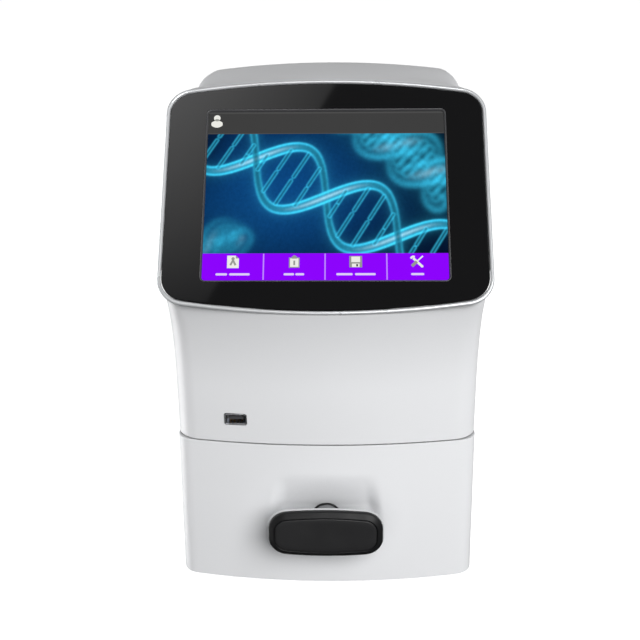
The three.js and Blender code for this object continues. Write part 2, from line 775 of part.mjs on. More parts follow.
// The black cover of the pull: a flat rim, then a slope up to a smaller face with a shallow seat.
function handlePlate() {
  const back = HANDLE_BACK - 1 - GAP;
  const body = loft([
    handleRing(0, back),
    handleRing(0, HANDLE_FRONT + 2.4),
    handleRing(-0.4, HANDLE_FRONT + 2),
    handleRing(-2.8, HANDLE_FRONT + 0.1),
    handleRing(-3.1, HANDLE_FRONT),
  ]);
  return body.subtract(loft([handleRing(-4.1, HANDLE_FRONT - 2), handleRing(-4.1, HANDLE_FRONT + 1.2)]));
}

function handleInsert() {
  return loft([
    handleRing(-4.4, HANDLE_FRONT + 0.9),
    handleRing(-4.4, HANDLE_FRONT + 0.4),
    handleRing(-4.8, HANDLE_FRONT + 0.1),
  ]);
}

// The post and the thin back plate that the cover clips on.
function handlePost() {
  const back = loft([handleRing(HANDLE_LIP, HANDLE_BACK - 1), handleRing(HANDLE_LIP, HANDLE_BACK)]);
  const stem = roundY(0, POST_Z, POST_RADIUS, 24, HANDLE_BACK - 0.5, FRONT + 7.2);
  return back.add(stem);
}

function drawerTray() {
  const front = FRONT + 12;
  let body = block(-TRAY_HALF, TRAY_HALF, front, TRAY_BACK, 17, 62);
  body = body.subtract(block(-TRAY_HALF + 1.6, TRAY_HALF - 1.6, front + 1.6, TRAY_BACK - 1.6, 18.6, 80));
  body = body.subtract(block(-68, 68, front - 5, TRAY_BACK + 5, 24, 56));
  return body;
}

function heatSink() {
  const y0 = BLOCK_Y - 48;
  const y1 = BLOCK_Y + 48;
  const fins = 18;
  const pitch = 140 / fins;
  const outline = [[70, 66], [-70, 66]];
  for (let i = 0; i < fins; i += 1) {
    const x = -70 + i * pitch;
    outline.push([x, 19], [x + 2.4, 19], [x + 2.4, 58], [x + pitch, 58]);
  }
  outline.pop();
  outline.push([70, 58]);
  const profile = new THREE.Shape(outline.map(([x, z]) => new THREE.Vector2(x, z)));
  const geometry = new THREE.ExtrudeGeometry(profile, { depth: y1 - y0, bevelEnabled: false });
  geometry.rotateX(Math.PI / 2);
  geometry.translate(0, y1, 0);
  return solid(geometry);
}

function peltier(x, y) {
  const low = 66 + GAP;
  const slab = (half, z0, z1) => block(x - half, x + half, y - half, y + half, z0, z1);
  return joinAll([
    slab(17.8, low, low + 0.9),
    slab(16.6, low + 0.5, low + 3.1),
    slab(17.8, low + 2.7, low + 3.6),
  ]);
}

function sampleBlock() {
  const flange = block(-58, 58, BLOCK_Y - 40, BLOCK_Y + 40, 70.2, 76);
  let body = flange.add(block(-55, 55, BLOCK_Y - 37.5, BLOCK_Y + 37.5, 75, BLOCK_TOP));
  const wells = [];
  for (let i = 0; i < WELL_COLUMNS; i += 1) {
    for (let j = 0; j < WELL_ROWS; j += 1) {
      const x = (i - (WELL_COLUMNS - 1) / 2) * WELL_PITCH;
      const y = (j - (WELL_ROWS - 1) / 2) * WELL_PITCH + BLOCK_Y;
      const cone = new THREE.CylinderGeometry(WELL_RADIUS + 0.1, WELL_TIP, WELL_DEPTH + 1, 6);
      cone.rotateX(Math.PI / 2);
      cone.translate(x, y, BLOCK_TOP - WELL_DEPTH / 2 + 0.5);
      wells.push(solid(cone));
    }
  }
  return body.subtract(wasm.Manifold.union(wells));
}

function blockSeal() {
  const y = BLOCK_Y;
  const outer = block(-64.8, 64.8, y - 43.6, y + 43.6, 76.5, 84);
  return outer.subtract(block(-55.4, 55.4, y - 37.9, y + 37.9, 70, 90));
}

function blockSurround() {
  const y = BLOCK_Y;
  let body = block(-83, 83, y - 53, y + 53, 63, 107);
  const ledge = block(-81, 81, y - 51, y + 51, 60, 104.4);
  const collar = block(-67.3, 67.3, y - 46.1, y + 46.1, 68, 120);
  body = body.subtract(ledge.subtract(collar));
  return body.subtract(block(-65.3, 65.3, y - 44.1, y + 44.1, 50, 120)).subtract(
    block(-68, 68, y - 47, y + 47, 50, 70),
  );
}

function innerRail(side) {
  const x0 = side > 0 ? 85.7 : -92.6;
  const low = FRONT + 14;
  return block(x0, x0 + 6.9, low, TRAY_BACK, RAIL_Z - 10.6, RAIL_Z + 10.6);
}

function outerRail(side) {
  const x0 = side > 0 ? 88.4 : -95.7;
  const y0 = SPLIT + 5;
  const y1 = TRAY_BACK + 18;
  const shell = block(x0, x0 + 7.3, y0, y1, RAIL_Z - 13, RAIL_Z + 13);
  const groove = side > 0 ? block(80, 93.4, 0, 1, -11.2, 11.2) : block(-93.4, -80, 0, 1, -11.2, 11.2);
  const long = groove.scale([1, 400, 1]).translate([0, -200, RAIL_Z]);
  return shell.subtract(long);
}

// ---------------------------------------------------------------- assembly

const group = new THREE.Group();

function place(name, manifold, look) {
  const mesh = new THREE.Mesh(shape3d(manifold), look);
  mesh.name = name;
  group.add(mesh);
}

place('upper_housing', upperHousing(), shellPlastic());
place('lower_housing', lowerHousing(), shellPlastic());
place('base_plate', basePlate(), sheetSteel());
place('rear_panel', rearPanel(), sheetSteel());
place('chassis_plate_left', chassisPlate(-1), sheetSteel());
place('chassis_plate_right', chassisPlate(1), sheetSteel());
place('mid_shelf', midShelf(), sheetSteel());
[['front_left', -82, -104], ['front_right', 82, -104], ['rear_left', -82, 150], ['rear_right', 82, 150]]
  .forEach(([where, x, y]) => place(`foot_${where}`, foot(x, y), rubber()));

place('bezel_ring', bezelRing(), rimSilver());
place('display_glass', displayGlass(), glossBlack());
place('lcd_panel', lcdPanel(), screenBlue());
place('display_bracket', displayBracket(), sheetSteel());
place('display_board', displayBoard(), board());
place('usb_port', usbPort(), steel());

place('main_board', mainBoard(), board());
place('power_supply', powerSupply(), aluminium());
place('inlet_module', inletModule(), blackPlastic());
place('fuse_drawer', fuseDrawer(), blackPlastic());
place('power_rocker', powerRocker(), blackPlastic());
[['left', -FAN_X], ['right', FAN_X]].forEach(([side, x]) => {
  place(`fan_frame_${side}`, fanFrame(x), blackPlastic());
  place(`fan_rotor_${side}`, fanRotor(x), blackPlastic());
});
place('air_duct', airDuct(), greyPlastic());

place('lid_bridge', lidBridge(), sheetSteel());
place('lid_motor', lidMotor(), darkAluminium());
place('lead_screw', leadScrew(), steel());
place('guide_rod_left', guideRod(-ROD_X), steel());
place('guide_rod_right', guideRod(ROD_X), steel());
place('lid_carrier', lidCarrier(), aluminium());
place('lid_nut', lidNut(), brass());
place('heater_plate', heaterPlate(), heaterBlack());
place('lid_skirt', lidSkirt(), greyPlastic());
[[-40, -26], [40, -26], [-40, 26], [40, 26]].forEach(([x, dy], i) => {
  place(`lid_spring_${i + 1}`, lidSpring(x, BLOCK_Y + dy), steel());
});

place('drawer_front', drawerFront(), shellPlastic());
place('drawer_tray', drawerTray(), sheetSteel());
place('handle_plate', handlePlate(), blackPlastic());
place('handle_insert', handleInsert(), blackPlastic());
place('handle_post', handlePost(), greyPlastic());
place('heat_sink', heatSink(), aluminium());
for (let i = 0; i < 6; i += 1) {
  const x = ((i % 3) - 1) * 37;
  const y = BLOCK_Y + (i < 3 ? -18.5 : 18.5);
  place(`peltier_${i + 1}`, peltier(x, y), ceramic());
}
place('sample_block', sampleBlock(), aluminium());
place('block_seal', blockSeal(), foamBlue());
place('block_surround', blockSurround(), greyPlastic());
place('inner_rail_left', innerRail(-1), steel());
place('inner_rail_right', innerRail(1), steel());
place('outer_rail_left', outerRail(-1), steel());
place('outer_rail_right', outerRail(1), steel());

export default group;
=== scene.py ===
"""Thermal cycler: the looks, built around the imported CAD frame. Metres, +Z up, front towards -Y.

Shapes are worked out in millimetres and scaled by MM when a mesh is made.
"""
import json
import math

import bmesh
import bpy
import numpy as np
from mathutils import Matrix, Vector


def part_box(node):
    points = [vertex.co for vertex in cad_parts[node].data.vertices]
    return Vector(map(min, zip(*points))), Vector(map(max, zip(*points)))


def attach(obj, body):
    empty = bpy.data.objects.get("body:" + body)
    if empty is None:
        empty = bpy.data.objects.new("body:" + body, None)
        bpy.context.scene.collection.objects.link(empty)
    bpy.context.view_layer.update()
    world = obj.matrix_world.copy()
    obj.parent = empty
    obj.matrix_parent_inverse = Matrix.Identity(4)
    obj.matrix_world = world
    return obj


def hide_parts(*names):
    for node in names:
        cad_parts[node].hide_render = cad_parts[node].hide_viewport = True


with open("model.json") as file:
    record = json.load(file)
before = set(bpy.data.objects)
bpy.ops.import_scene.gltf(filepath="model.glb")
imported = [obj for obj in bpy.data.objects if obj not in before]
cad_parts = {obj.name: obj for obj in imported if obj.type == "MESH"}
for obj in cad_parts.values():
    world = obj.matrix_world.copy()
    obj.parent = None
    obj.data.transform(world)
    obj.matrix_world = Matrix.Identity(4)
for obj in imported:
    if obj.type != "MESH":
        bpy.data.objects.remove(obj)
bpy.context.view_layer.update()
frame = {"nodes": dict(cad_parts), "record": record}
scene = bpy.context.scene
scene.view_settings.view_transform = "Standard"

MM = 0.001
CASING, DRAWER = "casing", "drawer"

# Casing form.
FRONT, REAR = -146.0, 174.0
BODY_HALF, HEAD_HALF, HEAD_FADE = 105.0, 111.0, 18.0
BOW = 450.0
CORNER, EDGE_ROUND, REAR_ROUND = 13.5, 15.5, 11.5
BOTTOM, SEAM, GAP = 6.5, 112.2, 0.3
SEAM_RELIEF = 0.35
WALL = 2.8
SPLIT = -120.0
DRAFT = 6.0
FLARE_LOW, FLARE_HIGH, FLARE_OUT = 154.0, 212.0, 9.3
TOP_FRONT, TOP_CREST, REAR_LOW = 347.7, 345.4, 300.0
CREST_START, CREST_Y = FRONT + 96, FRONT + 247
CROWN_FRONT, CROWN_WAIST, CROWN_REAR, CROWN_HALF = 5.7, 9.2, 5.6, 95.0
WAIST_Y, REAR_TOP_Y = FRONT + 150, FRONT + 216
AXIS_Y = 14.0
OPENING_HALF, OPENING_LOW, OPENING_HIGH = 88.0, 14.0, 280.0

# Display.
TILT = math.radians(52.4)
DISPLAY_Y, DISPLAY_Z = FRONT + 43.4, 279.35
HEAD_FACE, SHELL_FACE = -3.0, -1.4
FACE_LIP = 0.975
CUT_REACH, CUT_SNAP, CUT_MERGE = 0.4, 0.35, 0.3
GLASS_HALF, GLASS_RISE, GLASS_BOW, GLASS_CORNER = 107.8, 83.6, 9.4, 16.0
RING_WIDE = 3.0
WINDOW_HALF, WINDOW_RISE, WINDOW_CORNER = 81.3, 62.2, 2.2
WINDOW_LIP, PICTURE_DEPTH = 1.5, -1.7
STATUS_V, MENU_V = 45.6, -43.2
MENU_STEP, SYMBOL_V, CAPTION_V = 40.7, -49.2, -58.0

# Drawer pull and front socket.
HANDLE_Z, HANDLE_HALF, HANDLE_RISE, HANDLE_BOW, HANDLE_CORNER = 57.4, 39.1, 17.2, 2.4, 12.0
HANDLE_FRONT, HANDLE_BACK = FRONT - 28, FRONT - 20.8
HANDLE_BULGE, SHADOW_RING_Y, PLATE_DROP = 1.0, FRONT + 0.9, 0.35
POST_Z, POST_RADIUS = 55.0, 9.8
RECESS_TOP, RECESS_LOW, RECESS_BASE, RECESS_HALF, RECESS_SIDE = 90.5, 64.0, 40.0, 37.5, 12.0
RECESS_TILT, RECESS_EASE = 0.24, 4.0
USB_X, USB_Z, USB_HALF, USB_RISE = -62.3, 129.6, 8.0, 4.4

# Studio, in metres except for the card, which is placed by its image on the display.
# SHADE_REACH is how far the painted shade in the materials looks for nearby surfaces.
SHADE_REACH = 0.027
CARD_POWER, CARD_FAR = 2.0, 3.2
CARD_LOW, CARD_HIGH, CARD_LEFT = -110.0, 150.0, -260.0
CARD_EDGE_LOW, CARD_EDGE_HIGH, CARD_HALF = -80.0, 6.0, 83.0
FLOOR_GLOW = 0.9
BACKDROP_RADIUS = 17.5
WORLD_LOW, WORLD_HIGH = 0.04, 0.09
WORLD_STOPS = [(0.02, 0.18), (0.35, 0.20), (0.62, 0.09)]


# ---- mesh helpers

def add_object(name, data):
    obj = bpy.data.objects.new(name, data)
    scene.collection.objects.link(obj)
    return obj


def put(name, work):
    """An object made from a bmesh, which is freed."""
    mesh = bpy.data.meshes.new(name)
    work.to_mesh(mesh)
    work.free()
    return add_object(name, mesh)


def add_mesh(name, points, faces, smooth=True):
    mesh = bpy.data.meshes.new(name)
    mesh.from_pydata([tuple(p) for p in np.asarray(points, float) * MM], [], [tuple(f) for f in faces])
    mesh.validate()
    obj = add_object(name, mesh)
    turn_outward(obj)
    mesh.polygons.foreach_set("use_smooth", [smooth] * len(mesh.polygons))
    return obj


def turn_outward(obj):
    work = bmesh.new()
    work.from_mesh(obj.data)
    bmesh.ops.remove_doubles(work, verts=work.verts, dist=1e-7)
    bmesh.ops.recalc_face_normals(work, faces=work.faces)
    work.to_mesh(obj.data)
    work.free()


def grid_faces(rows, columns, closed):
    faces = []
    for r in range(rows - 1):
        for c in range(columns if closed else columns - 1):
            a, b = r * columns + c, r * columns + (c + 1) % columns
            faces.append((a, b, b + columns, a + columns))
    return faces


def loft(name, rings, smooth=True):
    """A closed solid through rings of equally many points, with a face on each end."""
    count = len(rings[0])
    points = [p for ring in rings for p in ring]
    faces = grid_faces(len(rings), count, True)
    faces.append(tuple(range(count)))
    faces.append(tuple(range(len(points) - 1, len(points) - 1 - count, -1)))
    return add_mesh(name, points, faces, smooth)


def hoop(name, rings):
    """A closed loop of section: the last ring joins the first."""
    count = len(rings[0])
    points = [p for ring in rings for p in ring]
    faces = grid_faces(len(rings), count, True)
    last = (len(rings) - 1) * count
    faces += [(last + c, last + (c + 1) % count, (c + 1) % count, c) for c in range(count)]
    return add_mesh(name, points, faces)


def turned(name, profile, place, axis, sides=48):
    """A solid of revolution: profile is (radius, height) from axis to axis."""
    place, axis = Vector(place), Vector(axis).normalized()
    side = axis.orthogonal().normalized()
    other = axis.cross(side)
    rings = []
    for radius, height in profile:
        turns = [2 * math.pi * k / sides for k in range(sides)]
        rings.append([place + axis * height + (side * math.cos(a) + other * math.sin(a)) * max(radius, 1e-3)
                      for a in turns])
    return loft(name, rings)


def join(name, objects):
    """One object out of several, with their materials."""
    target = objects[0]
    work = bmesh.new()
    slots = []
    for obj in objects:
        start = len(work.faces)
        work.from_mesh(obj.data)
        work.faces.ensure_lookup_table()
        names = [m.name for m in obj.data.materials]
        for m in names:
            if m not in slots:
                slots.append(m)
        for face in work.faces[start:]:
            face.material_index = slots.index(names[face.material_index]) if names else 0
    mesh = bpy.data.meshes.new(name)
    work.to_mesh(mesh)
    work.free()
    for m in slots:
        mesh.materials.append(bpy.data.materials[m])
    for obj in objects[1:]:
        bpy.data.objects.remove(obj)
    target.data = mesh
    target.name = name
    return target


def bevel(obj, width, angle=35):
    step = obj.modifiers.new("edges", "BEVEL")
    step.width = width * MM
    step.segments = 2
    step.limit_method = "ANGLE"
    step.angle_limit = math.radians(angle)
    step.harden_normals = True
    return obj


def thicken(obj, depth, rim=0):
    step = obj.modifiers.new("wall", "SOLIDIFY")
    step.thickness = depth * MM
    step.offset = -1
    step.material_offset_rim = rim
    return obj


def dress(obj, material, body, slot, *nodes):
    """Gives a piece its material and the body it rides on, and hides the CAD nodes it stands for. slot is not
    used.
    """
    if material is not None:
        obj.data.materials.clear()
        obj.data.materials.append(material)
    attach(obj, body)
    if nodes:
        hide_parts(*nodes)
    return obj


# ---- outlines

def tangent_angle(half, radius, bend):
    """Where a corner arc meets an edge bowed to the radius bend."""
    a = 0.0
    for _ in range(12):
        a = math.atan((half - radius + radius * math.sin(a)) / bend)
    return a


def bowed_outline(half, rise, bow, radius, steps, arc_steps):
    """Bowed top and bottom, straight sides, tangent corner arcs."""
    bend = half * half / (2 * bow)
    a = tangent_angle(half, radius, bend)
    edge = half - radius + radius * math.sin(a)
    centre = rise - edge * edge / (2 * bend) - radius * math.cos(a)
    quarter = []
    for i in range(arc_steps + 1):
        t = (math.pi / 2 - a) * i / arc_steps
        quarter.append((half - radius + radius * math.cos(t), centre + radius * math.sin(t)))
    ends = [(edge - 2 * edge * i / steps) for i in range(1, steps)]
    top = quarter + [(x, rise - x * x / (2 * bend)) for x in ends] + [(-x, y) for x, y in reversed(quarter)]
    return top + [(-x, -y) for x, y in top]


def rounded_rect(half_x, half_y, radius, steps=6):
    points = []
    for sx, sy, start in ((1, -1, -90), (1, 1, 0), (-1, 1, 90), (-1, -1, 180)):
        for i in range(steps + 1):
            a = math.radians(start + 90 * i / steps)
            x = sx * (half_x - radius) + radius * math.cos(a)
            points.append((x, sy * (half_y - radius) + radius * math.sin(a)))
    return points


def on_display(x, v, n):
    c, s = math.cos(TILT), math.sin(TILT)
    return (x, DISPLAY_Y + v * c - n * s, DISPLAY_Z + v * s + n * c)


def display_ring(outline, n):
    return [on_display(x, v, n) for x, v in outline]


def glass_outline(grow):
    return bowed_outline(GLASS_HALF + grow, GLASS_RISE + grow, GLASS_BOW, GLASS_CORNER + grow, 40, 14)


# ---- casing form

def ease(value, low, high):
    """A smooth step from 0 to 1."""
    t = np.clip((value - low) / (high - low), 0, 1)
    return t * t * (3 - 2 * t)


def flare(z):
    t = np.clip((z - FLARE_LOW) / (FLARE_HIGH - FLARE_LOW), 0, 1)
    return FLARE_OUT * t * t


def draft(z):
    return np.where(z < SEAM, DRAFT * (SEAM - z) / (SEAM - BOTTOM), 0.0)


def front_at(z):
    return FRONT - draft(z) - flare(z)


def depth_behind(y, z):
    return (DISPLAY_Y - y) * math.sin(TILT) + (z - DISPLAY_Z) * math.cos(TILT)


def half_at(y, z):
    return BODY_HALF + (HEAD_HALF - BODY_HALF) * np.exp(np.minimum(depth_behind(y, z), 0) / HEAD_FADE)


def outside(x, y, z):
    """Above zero outside the casing, below zero inside it."""
    front = front_at(z) + x * x / (2 * BOW) - y
    t = np.clip((y - CREST_START) / (CREST_Y - CREST_START), 0, 1)
    rear = ease(y, WAIST_Y, REAR_TOP_Y)
    crown = CROWN_FRONT + (CROWN_WAIST - CROWN_FRONT) * ease(y, CREST_START, WAIST_Y)
    crown = crown + (CROWN_REAR - CROWN_WAIST) * rear
    high = z + x * x * crown / CROWN_HALF ** 2
    flat = high - (TOP_FRONT + (TOP_CREST - TOP_FRONT) * t * t)
    along, above = (y - CREST_Y) / (REAR - CREST_Y), (high - REAR_LOW) / (TOP_CREST - REAR_LOW)
    size = np.maximum(np.sqrt(along ** 2 + above ** 2), 1e-6)
    slope = np.sqrt((along / (REAR - CREST_Y)) ** 2 + (above / (TOP_CREST - REAR_LOW)) ** 2) / size
    curved = (size - 1) / np.maximum(slope, 1e-6)
    back = np.where(high > REAR_LOW, curved, y - REAR)
    body = np.where(y > CREST_Y, back, np.maximum(front, flat))
    side = np.abs(x) - half_at(y, z)
    radius = EDGE_ROUND + (REAR_ROUND - EDGE_ROUND) * rear * ease(z, 240.0, 310.0)
    u, w = np.maximum(side + radius, 0), np.maximum(body + radius, 0)
    return np.where((u > 0) & (w > 0), np.hypot(u, w) - radius, np.maximum(side, body))


def reach(origin, direction):
    """Where rays from inside the casing leave it."""
    low, high = np.zeros(len(direction)), np.full(len(direction), 400.0)
    for _ in range(40):
        middle = (low + high) / 2
        p = origin + direction * middle[:, None]
        out = outside(p[:, 0], p[:, 1], p[:, 2]) > 0
        high, low = np.where(out, middle, high), np.where(out, low, middle)
    return origin + direction * low[:, None]


def plan_angles(y_start):
    """Bearings of the columns, from the right-hand front end round the back to the left one."""
    half = BODY_HALF
    right = [(half, y) for y in np.linspace(y_start, REAR - EDGE_ROUND, 26)]
    for i in range(1, 13):
        a = math.pi / 2 * i / 12
        x = half - EDGE_ROUND + EDGE_ROUND * math.cos(a)
        right.append((x, REAR - EDGE_ROUND + EDGE_ROUND * math.sin(a)))
    rear = [(x, REAR) for x in np.linspace(OPENING_HALF, -OPENING_HALF, 31)]
    points = right + rear + [(-x, y) for x, y in reversed(right)]
    return [math.atan2(y - AXIS_Y, x) for x, y in points]


def front_points():
    """Columns of the front, left to right: corner arc, bowed front, corner arc."""
    a = tangent_angle(BODY_HALF, CORNER, BOW)
    edge = BODY_HALF - CORNER + CORNER * math.sin(a)
    centre = edge * edge / (2 * BOW) + CORNER * math.cos(a)
    arc = []
    for i in range(13):
        t = (a - math.pi / 2) * (1 - i / 12)
        arc.append((BODY_HALF - CORNER + CORNER * math.cos(t), centre + CORNER * math.sin(t)))
    inner = np.linspace(-edge, edge, 122)[1:-1]
    left = [(-x, y) for x, y in reversed(arc)]
    return left + [(x, x * x / (2 * BOW)) for x in inner] + arc


# ---- casing pieces

def delete_faces(work, doomed):
    """Deletes the faces whose middle, in millimetres, passes a test."""
    gone = [f for f in work.faces if doomed(f.calc_center_median() / MM)]
    bmesh.ops.delete(work, geom=gone, context="FACES")


def cut_hole(work, half, rise, centre_x, centre_z):
    """Cuts a small upright hole with clipped corners out of the front skin."""
    clip = 1.0
    planes = [((1, 0), half), ((-1, 0), half), ((0, 1), rise), ((0, -1), rise)]
    for sx in (-1, 1):
        for sz in (-1, 1):
            planes.append(((sx * math.sqrt(0.5), sz * math.sqrt(0.5)), (half + rise - clip) * math.sqrt(0.5)))

    def near(face):
        c = face.calc_center_median() / MM
        return c.y < 0 and abs(c.x - centre_x) < half + 6 and abs(c.z - centre_z) < rise + 6

    for (dx, dz), far in planes:
        faces = [f for f in work.faces if near(f)]
        parts = set(faces)
        for face in faces:
            parts.update(face.edges)
            parts.update(face.verts)
        spot = Vector((centre_x + dx * far, 0, centre_z + dz * far)) * MM
        bmesh.ops.bisect_plane(work, geom=list(parts), plane_co=spot, plane_no=(dx, 0, dz), dist=1e-7)

    def within(c):
        x, z = c.x - centre_x, c.z - centre_z
        return c.y < 0 and all(x * dx + z * dz < far - 1e-3 for (dx, dz), far in planes)

    delete_faces(work, within)


def upper_housing(material):
    levels = [SEAM + SEAM_RELIEF, 114, 117, 121, 126]
    levels += list(np.arange(130, 216, 2.5)) + list(np.arange(220, 280, 6)) + [280, 285, 290]
    front = [math.atan2(y + FRONT - AXIS_Y, x) for x, y in front_points()]
    back = plan_angles(FRONT + CORNER + 6)
    bearings = np.sort(np.mod(np.array(front + back), 2 * math.pi))
    flat = np.stack([np.cos(bearings), np.sin(bearings), np.zeros(len(bearings))], 1)
    rows = [reach(np.array([0, AXIS_Y, z]), flat) for z in levels]
    for lift in np.radians(np.concatenate([np.arange(1.5, 40, 1.5), np.arange(42, 88, 4)])):
        up = flat * math.cos(lift) + np.array([0, 0, math.sin(lift)])
        rows.append(reach(np.array([0, AXIS_Y, levels[-1]]), up))
    pole = reach(np.array([0, AXIS_Y, levels[-1]]), np.array([[0, 0, 1.0]]))
    points = np.concatenate(rows + [pole])
    count = len(bearings)
    faces = grid_faces(len(rows), count, True)
    top = (len(rows) - 1) * count
    faces += [(top + c, top + (c + 1) % count, len(points) - 1) for c in range(count)]
    obj = add_mesh("upper_shell", points, faces)

    work = bmesh.new()
    work.from_mesh(obj.data)
    everything = work.verts[:] + work.edges[:] + work.faces[:]
    plane = Vector(on_display(0, 0, SHELL_FACE)) * MM
    normal = Vector((0, -math.sin(TILT), math.cos(TILT)))

    def above(vert):
        return (vert.co - plane).dot(normal) / MM

    bmesh.ops.bisect_plane(work, geom=everything, plane_co=plane, plane_no=normal, dist=1e-7,
                           clear_outer=True)
    close = [v for v in work.verts if above(v) > -CUT_REACH]
    bmesh.ops.remove_doubles(work, verts=close, dist=CUT_MERGE * MM)
    for vert in work.verts:
        if above(vert) > -CUT_SNAP and vert.is_boundary:
            vert.co -= normal * above(vert) * MM
    many_sided = [f for f in work.faces if len(f.verts) > 4]
    bmesh.ops.triangulate(work, faces=many_sided, ngon_method="BEAUTY")
    edges = [e for e in work.edges if e.is_boundary and all(above(v) > -0.01 for v in e.verts)]
    lip = bmesh.ops.extrude_edge_only(work, edges=edges)
    for vert in lip["geom"]:
        if isinstance(vert, bmesh.types.BMVert):
            vert.co = plane + (vert.co - plane) * FACE_LIP
    delete_faces(work, lambda c: abs(c.x) < OPENING_HALF and c.z < OPENING_HIGH and c.y > 150)
    cut_hole(work, USB_HALF, USB_RISE, USB_X, USB_Z)
    socket = Vector((USB_X, 0, USB_Z)) * MM
    trimmed = []
    for vert in work.verts:
        if vert.co.y < 0 and abs(vert.co.x - socket.x) < 14 * MM and abs(vert.co.z - socket.z) < 10 * MM:
            trimmed.append(vert)
    bmesh.ops.remove_doubles(work, verts=trimmed, dist=0.04 * MM)
    edges = list({e for v in trimmed if v.is_valid for e in v.link_edges})
    bmesh.ops.dissolve_degenerate(work, edges=edges, dist=0.02 * MM)
    bmesh.ops.recalc_face_normals(work, faces=work.faces)
    work.to_mesh(obj.data)
    work.free()
    thicken(obj, WALL)
    crisp = obj.modifiers.new("crisp", "EDGE_SPLIT")
    crisp.split_angle = math.radians(38)
    return dress(obj, material, CASING, "shell", "upper_housing")


def lower_housing(material, seam_shade):
    angles = plan_angles(SPLIT + 0.15)
    flat = np.stack([np.cos(angles), np.sin(angles), np.zeros(len(angles))], 1)
    levels = [BOTTOM, OPENING_LOW, 20, 30, 45, 60, 75, 90, 103, SEAM - GAP - SEAM_RELIEF]
    rows = [reach(np.array([0, AXIS_Y, z]), flat) for z in levels]
    points = np.concatenate(rows)
    faces = []
    for face in grid_faces(len(rows), len(angles), False):
        c = points[list(face)].mean(0)
        if not (abs(c[0]) < OPENING_HALF and c[1] > 150 and c[2] > OPENING_LOW):
            faces.append(face)
    obj = add_mesh("lower_shell", points, faces)
    # The wall's cut edges take the second material, the painted seam shade.
    thicken(obj, WALL, 1)
    bevel(obj, 0.4)
    dress(obj, material, CASING, "shell", "lower_housing")
    obj.data.materials.append(seam_shade)

    inner, outer = 93.6, BODY_HALF - WALL - 0.05
    y0, y1 = SPLIT + 0.3, SPLIT + 2.8
    low, high = BOTTOM + 0.2, SEAM - GAP - 0.2
    bars = []
    for x0, x1, top in ((-outer, -inner, high), (inner, outer, high), (-inner - 0.1, inner + 0.1, 12.5)):
        rings = [[(x, y, z) for x, y in box_outline(x0, x1, y0, y1)] for z in (low, top)]
        bars.append(loft("frame_bar", rings, False))
        bars[-1].data.materials.append(material)
    face = join("drawer_opening_frame", bars)
    bevel(face, 0.4)
    return dress(face, None, CASING, "shell")


def recess(x, z):
    """How far the hand recess goes in behind the pull: a sloping floor with soft sides."""
    below = max(RECESS_TOP - z, 0.0)
    drop = RECESS_TILT * (below - RECESS_EASE * (1 - math.exp(-below / RECESS_EASE)))
    deepest = RECESS_TILT * (RECESS_TOP - RECESS_LOW - RECESS_EASE)
    floor = min(drop, deepest) * float(ease(z, RECESS_BASE - 8, RECESS_LOW))
    wide = RECESS_HALF + 0.10 * below
    return floor * (1 - float(ease(abs(x), wide - RECESS_SIDE, wide)))


def drawer_front(material, seam_shade):
    columns = front_points()
    first, last = columns[0], columns[-1]
    top = SEAM - GAP - SEAM_RELIEF
    levels = np.concatenate([[BOTTOM], np.linspace(BOTTOM + 3, 26, 5), np.arange(28, 94, 1.6),
                             np.linspace(96, top, 6)])
    back = SPLIT - 0.15
    rows = []
    for z in levels:
        shift = FRONT - float(draft(z))
        left = [(first[0], y) for y in np.linspace(back, first[1] + shift, 5)[:-1]]
        right = [(last[0], y) for y in np.linspace(last[1] + shift, back, 5)[1:]]
        row = left + [(x, y + shift + recess(x, z)) for x, y in columns] + right
        rows.append([(x, y, z) for x, y in row])
    count = len(rows[0])
    spread = np.linspace(-BODY_HALF, BODY_HALF, count)
    low = [(x, back, BOTTOM) for x in spread]
    high = [(x, back, top) for x in spread]
    points = [p for row in [low] + rows + [high] for p in row]
    obj = add_mesh("drawer_fascia", points, grid_faces(len(rows) + 2, count, False))
    # The wall's cut edges take the second material, the painted seam shade.
    thicken(obj, WALL, 1)
    bevel(obj, 0.4)
    dress(obj, material, DRAWER, "shell", "drawer_front")
    obj.data.materials.append(seam_shade)
    return obj


def feet(material, pin):
    for where in ("front_left", "front_right", "rear_left", "rear_right"):
        low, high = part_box(f"foot_{where}")
        centre = (low + high) / 2 / MM
        profile = [(0.5, 2.2), (3.4, 2.2), (3.4, 0.0), (8.6, 0.0), (9.6, 0.4), (10.3, 1.4), (10.7, 3.0),
                   (10.9, 5.2), (10.6, 6.0), (9.8, 6.2), (0.5, 6.2)]
        pad = turned(f"foot_pad_{where}", profile, (centre.x, centre.y, 0), (0, 0, 1))
        dress(pad, material, CASING, "rubber", f"foot_{where}")
        head = turned(f"foot_screw_{where}", [(0.2, 0.9), (1.2, 1.0), (2.4, 1.3), (2.9, 2.1), (0.2, 2.1)],
                      (centre.x, centre.y, 0), (0, 0, 1), 24)
        dress(head, pin, CASING, "steel")


# ---- display

def bezel(material):
    profile = [(0.4, SHELL_FACE + GAP), (RING_WIDE - 0.25, SHELL_FACE + GAP), (RING_WIDE, SHELL_FACE + 0.5),
               (RING_WIDE, -0.6), (2.8, -0.1), (2.4, 0.25), (1.9, 0.45), (1.4, 0.45), (0.9, 0.2),
               (0.55, -0.25), (0.35, -0.8)]
    rings = [display_ring(glass_outline(grow), n) for grow, n in profile]
    return dress(hoop("bezel_trim", rings), material, CASING, "rim", "bezel_ring")


def window_outline(grow):
    return rounded_rect(WINDOW_HALF + grow, WINDOW_RISE + grow, WINDOW_CORNER + grow, 6)


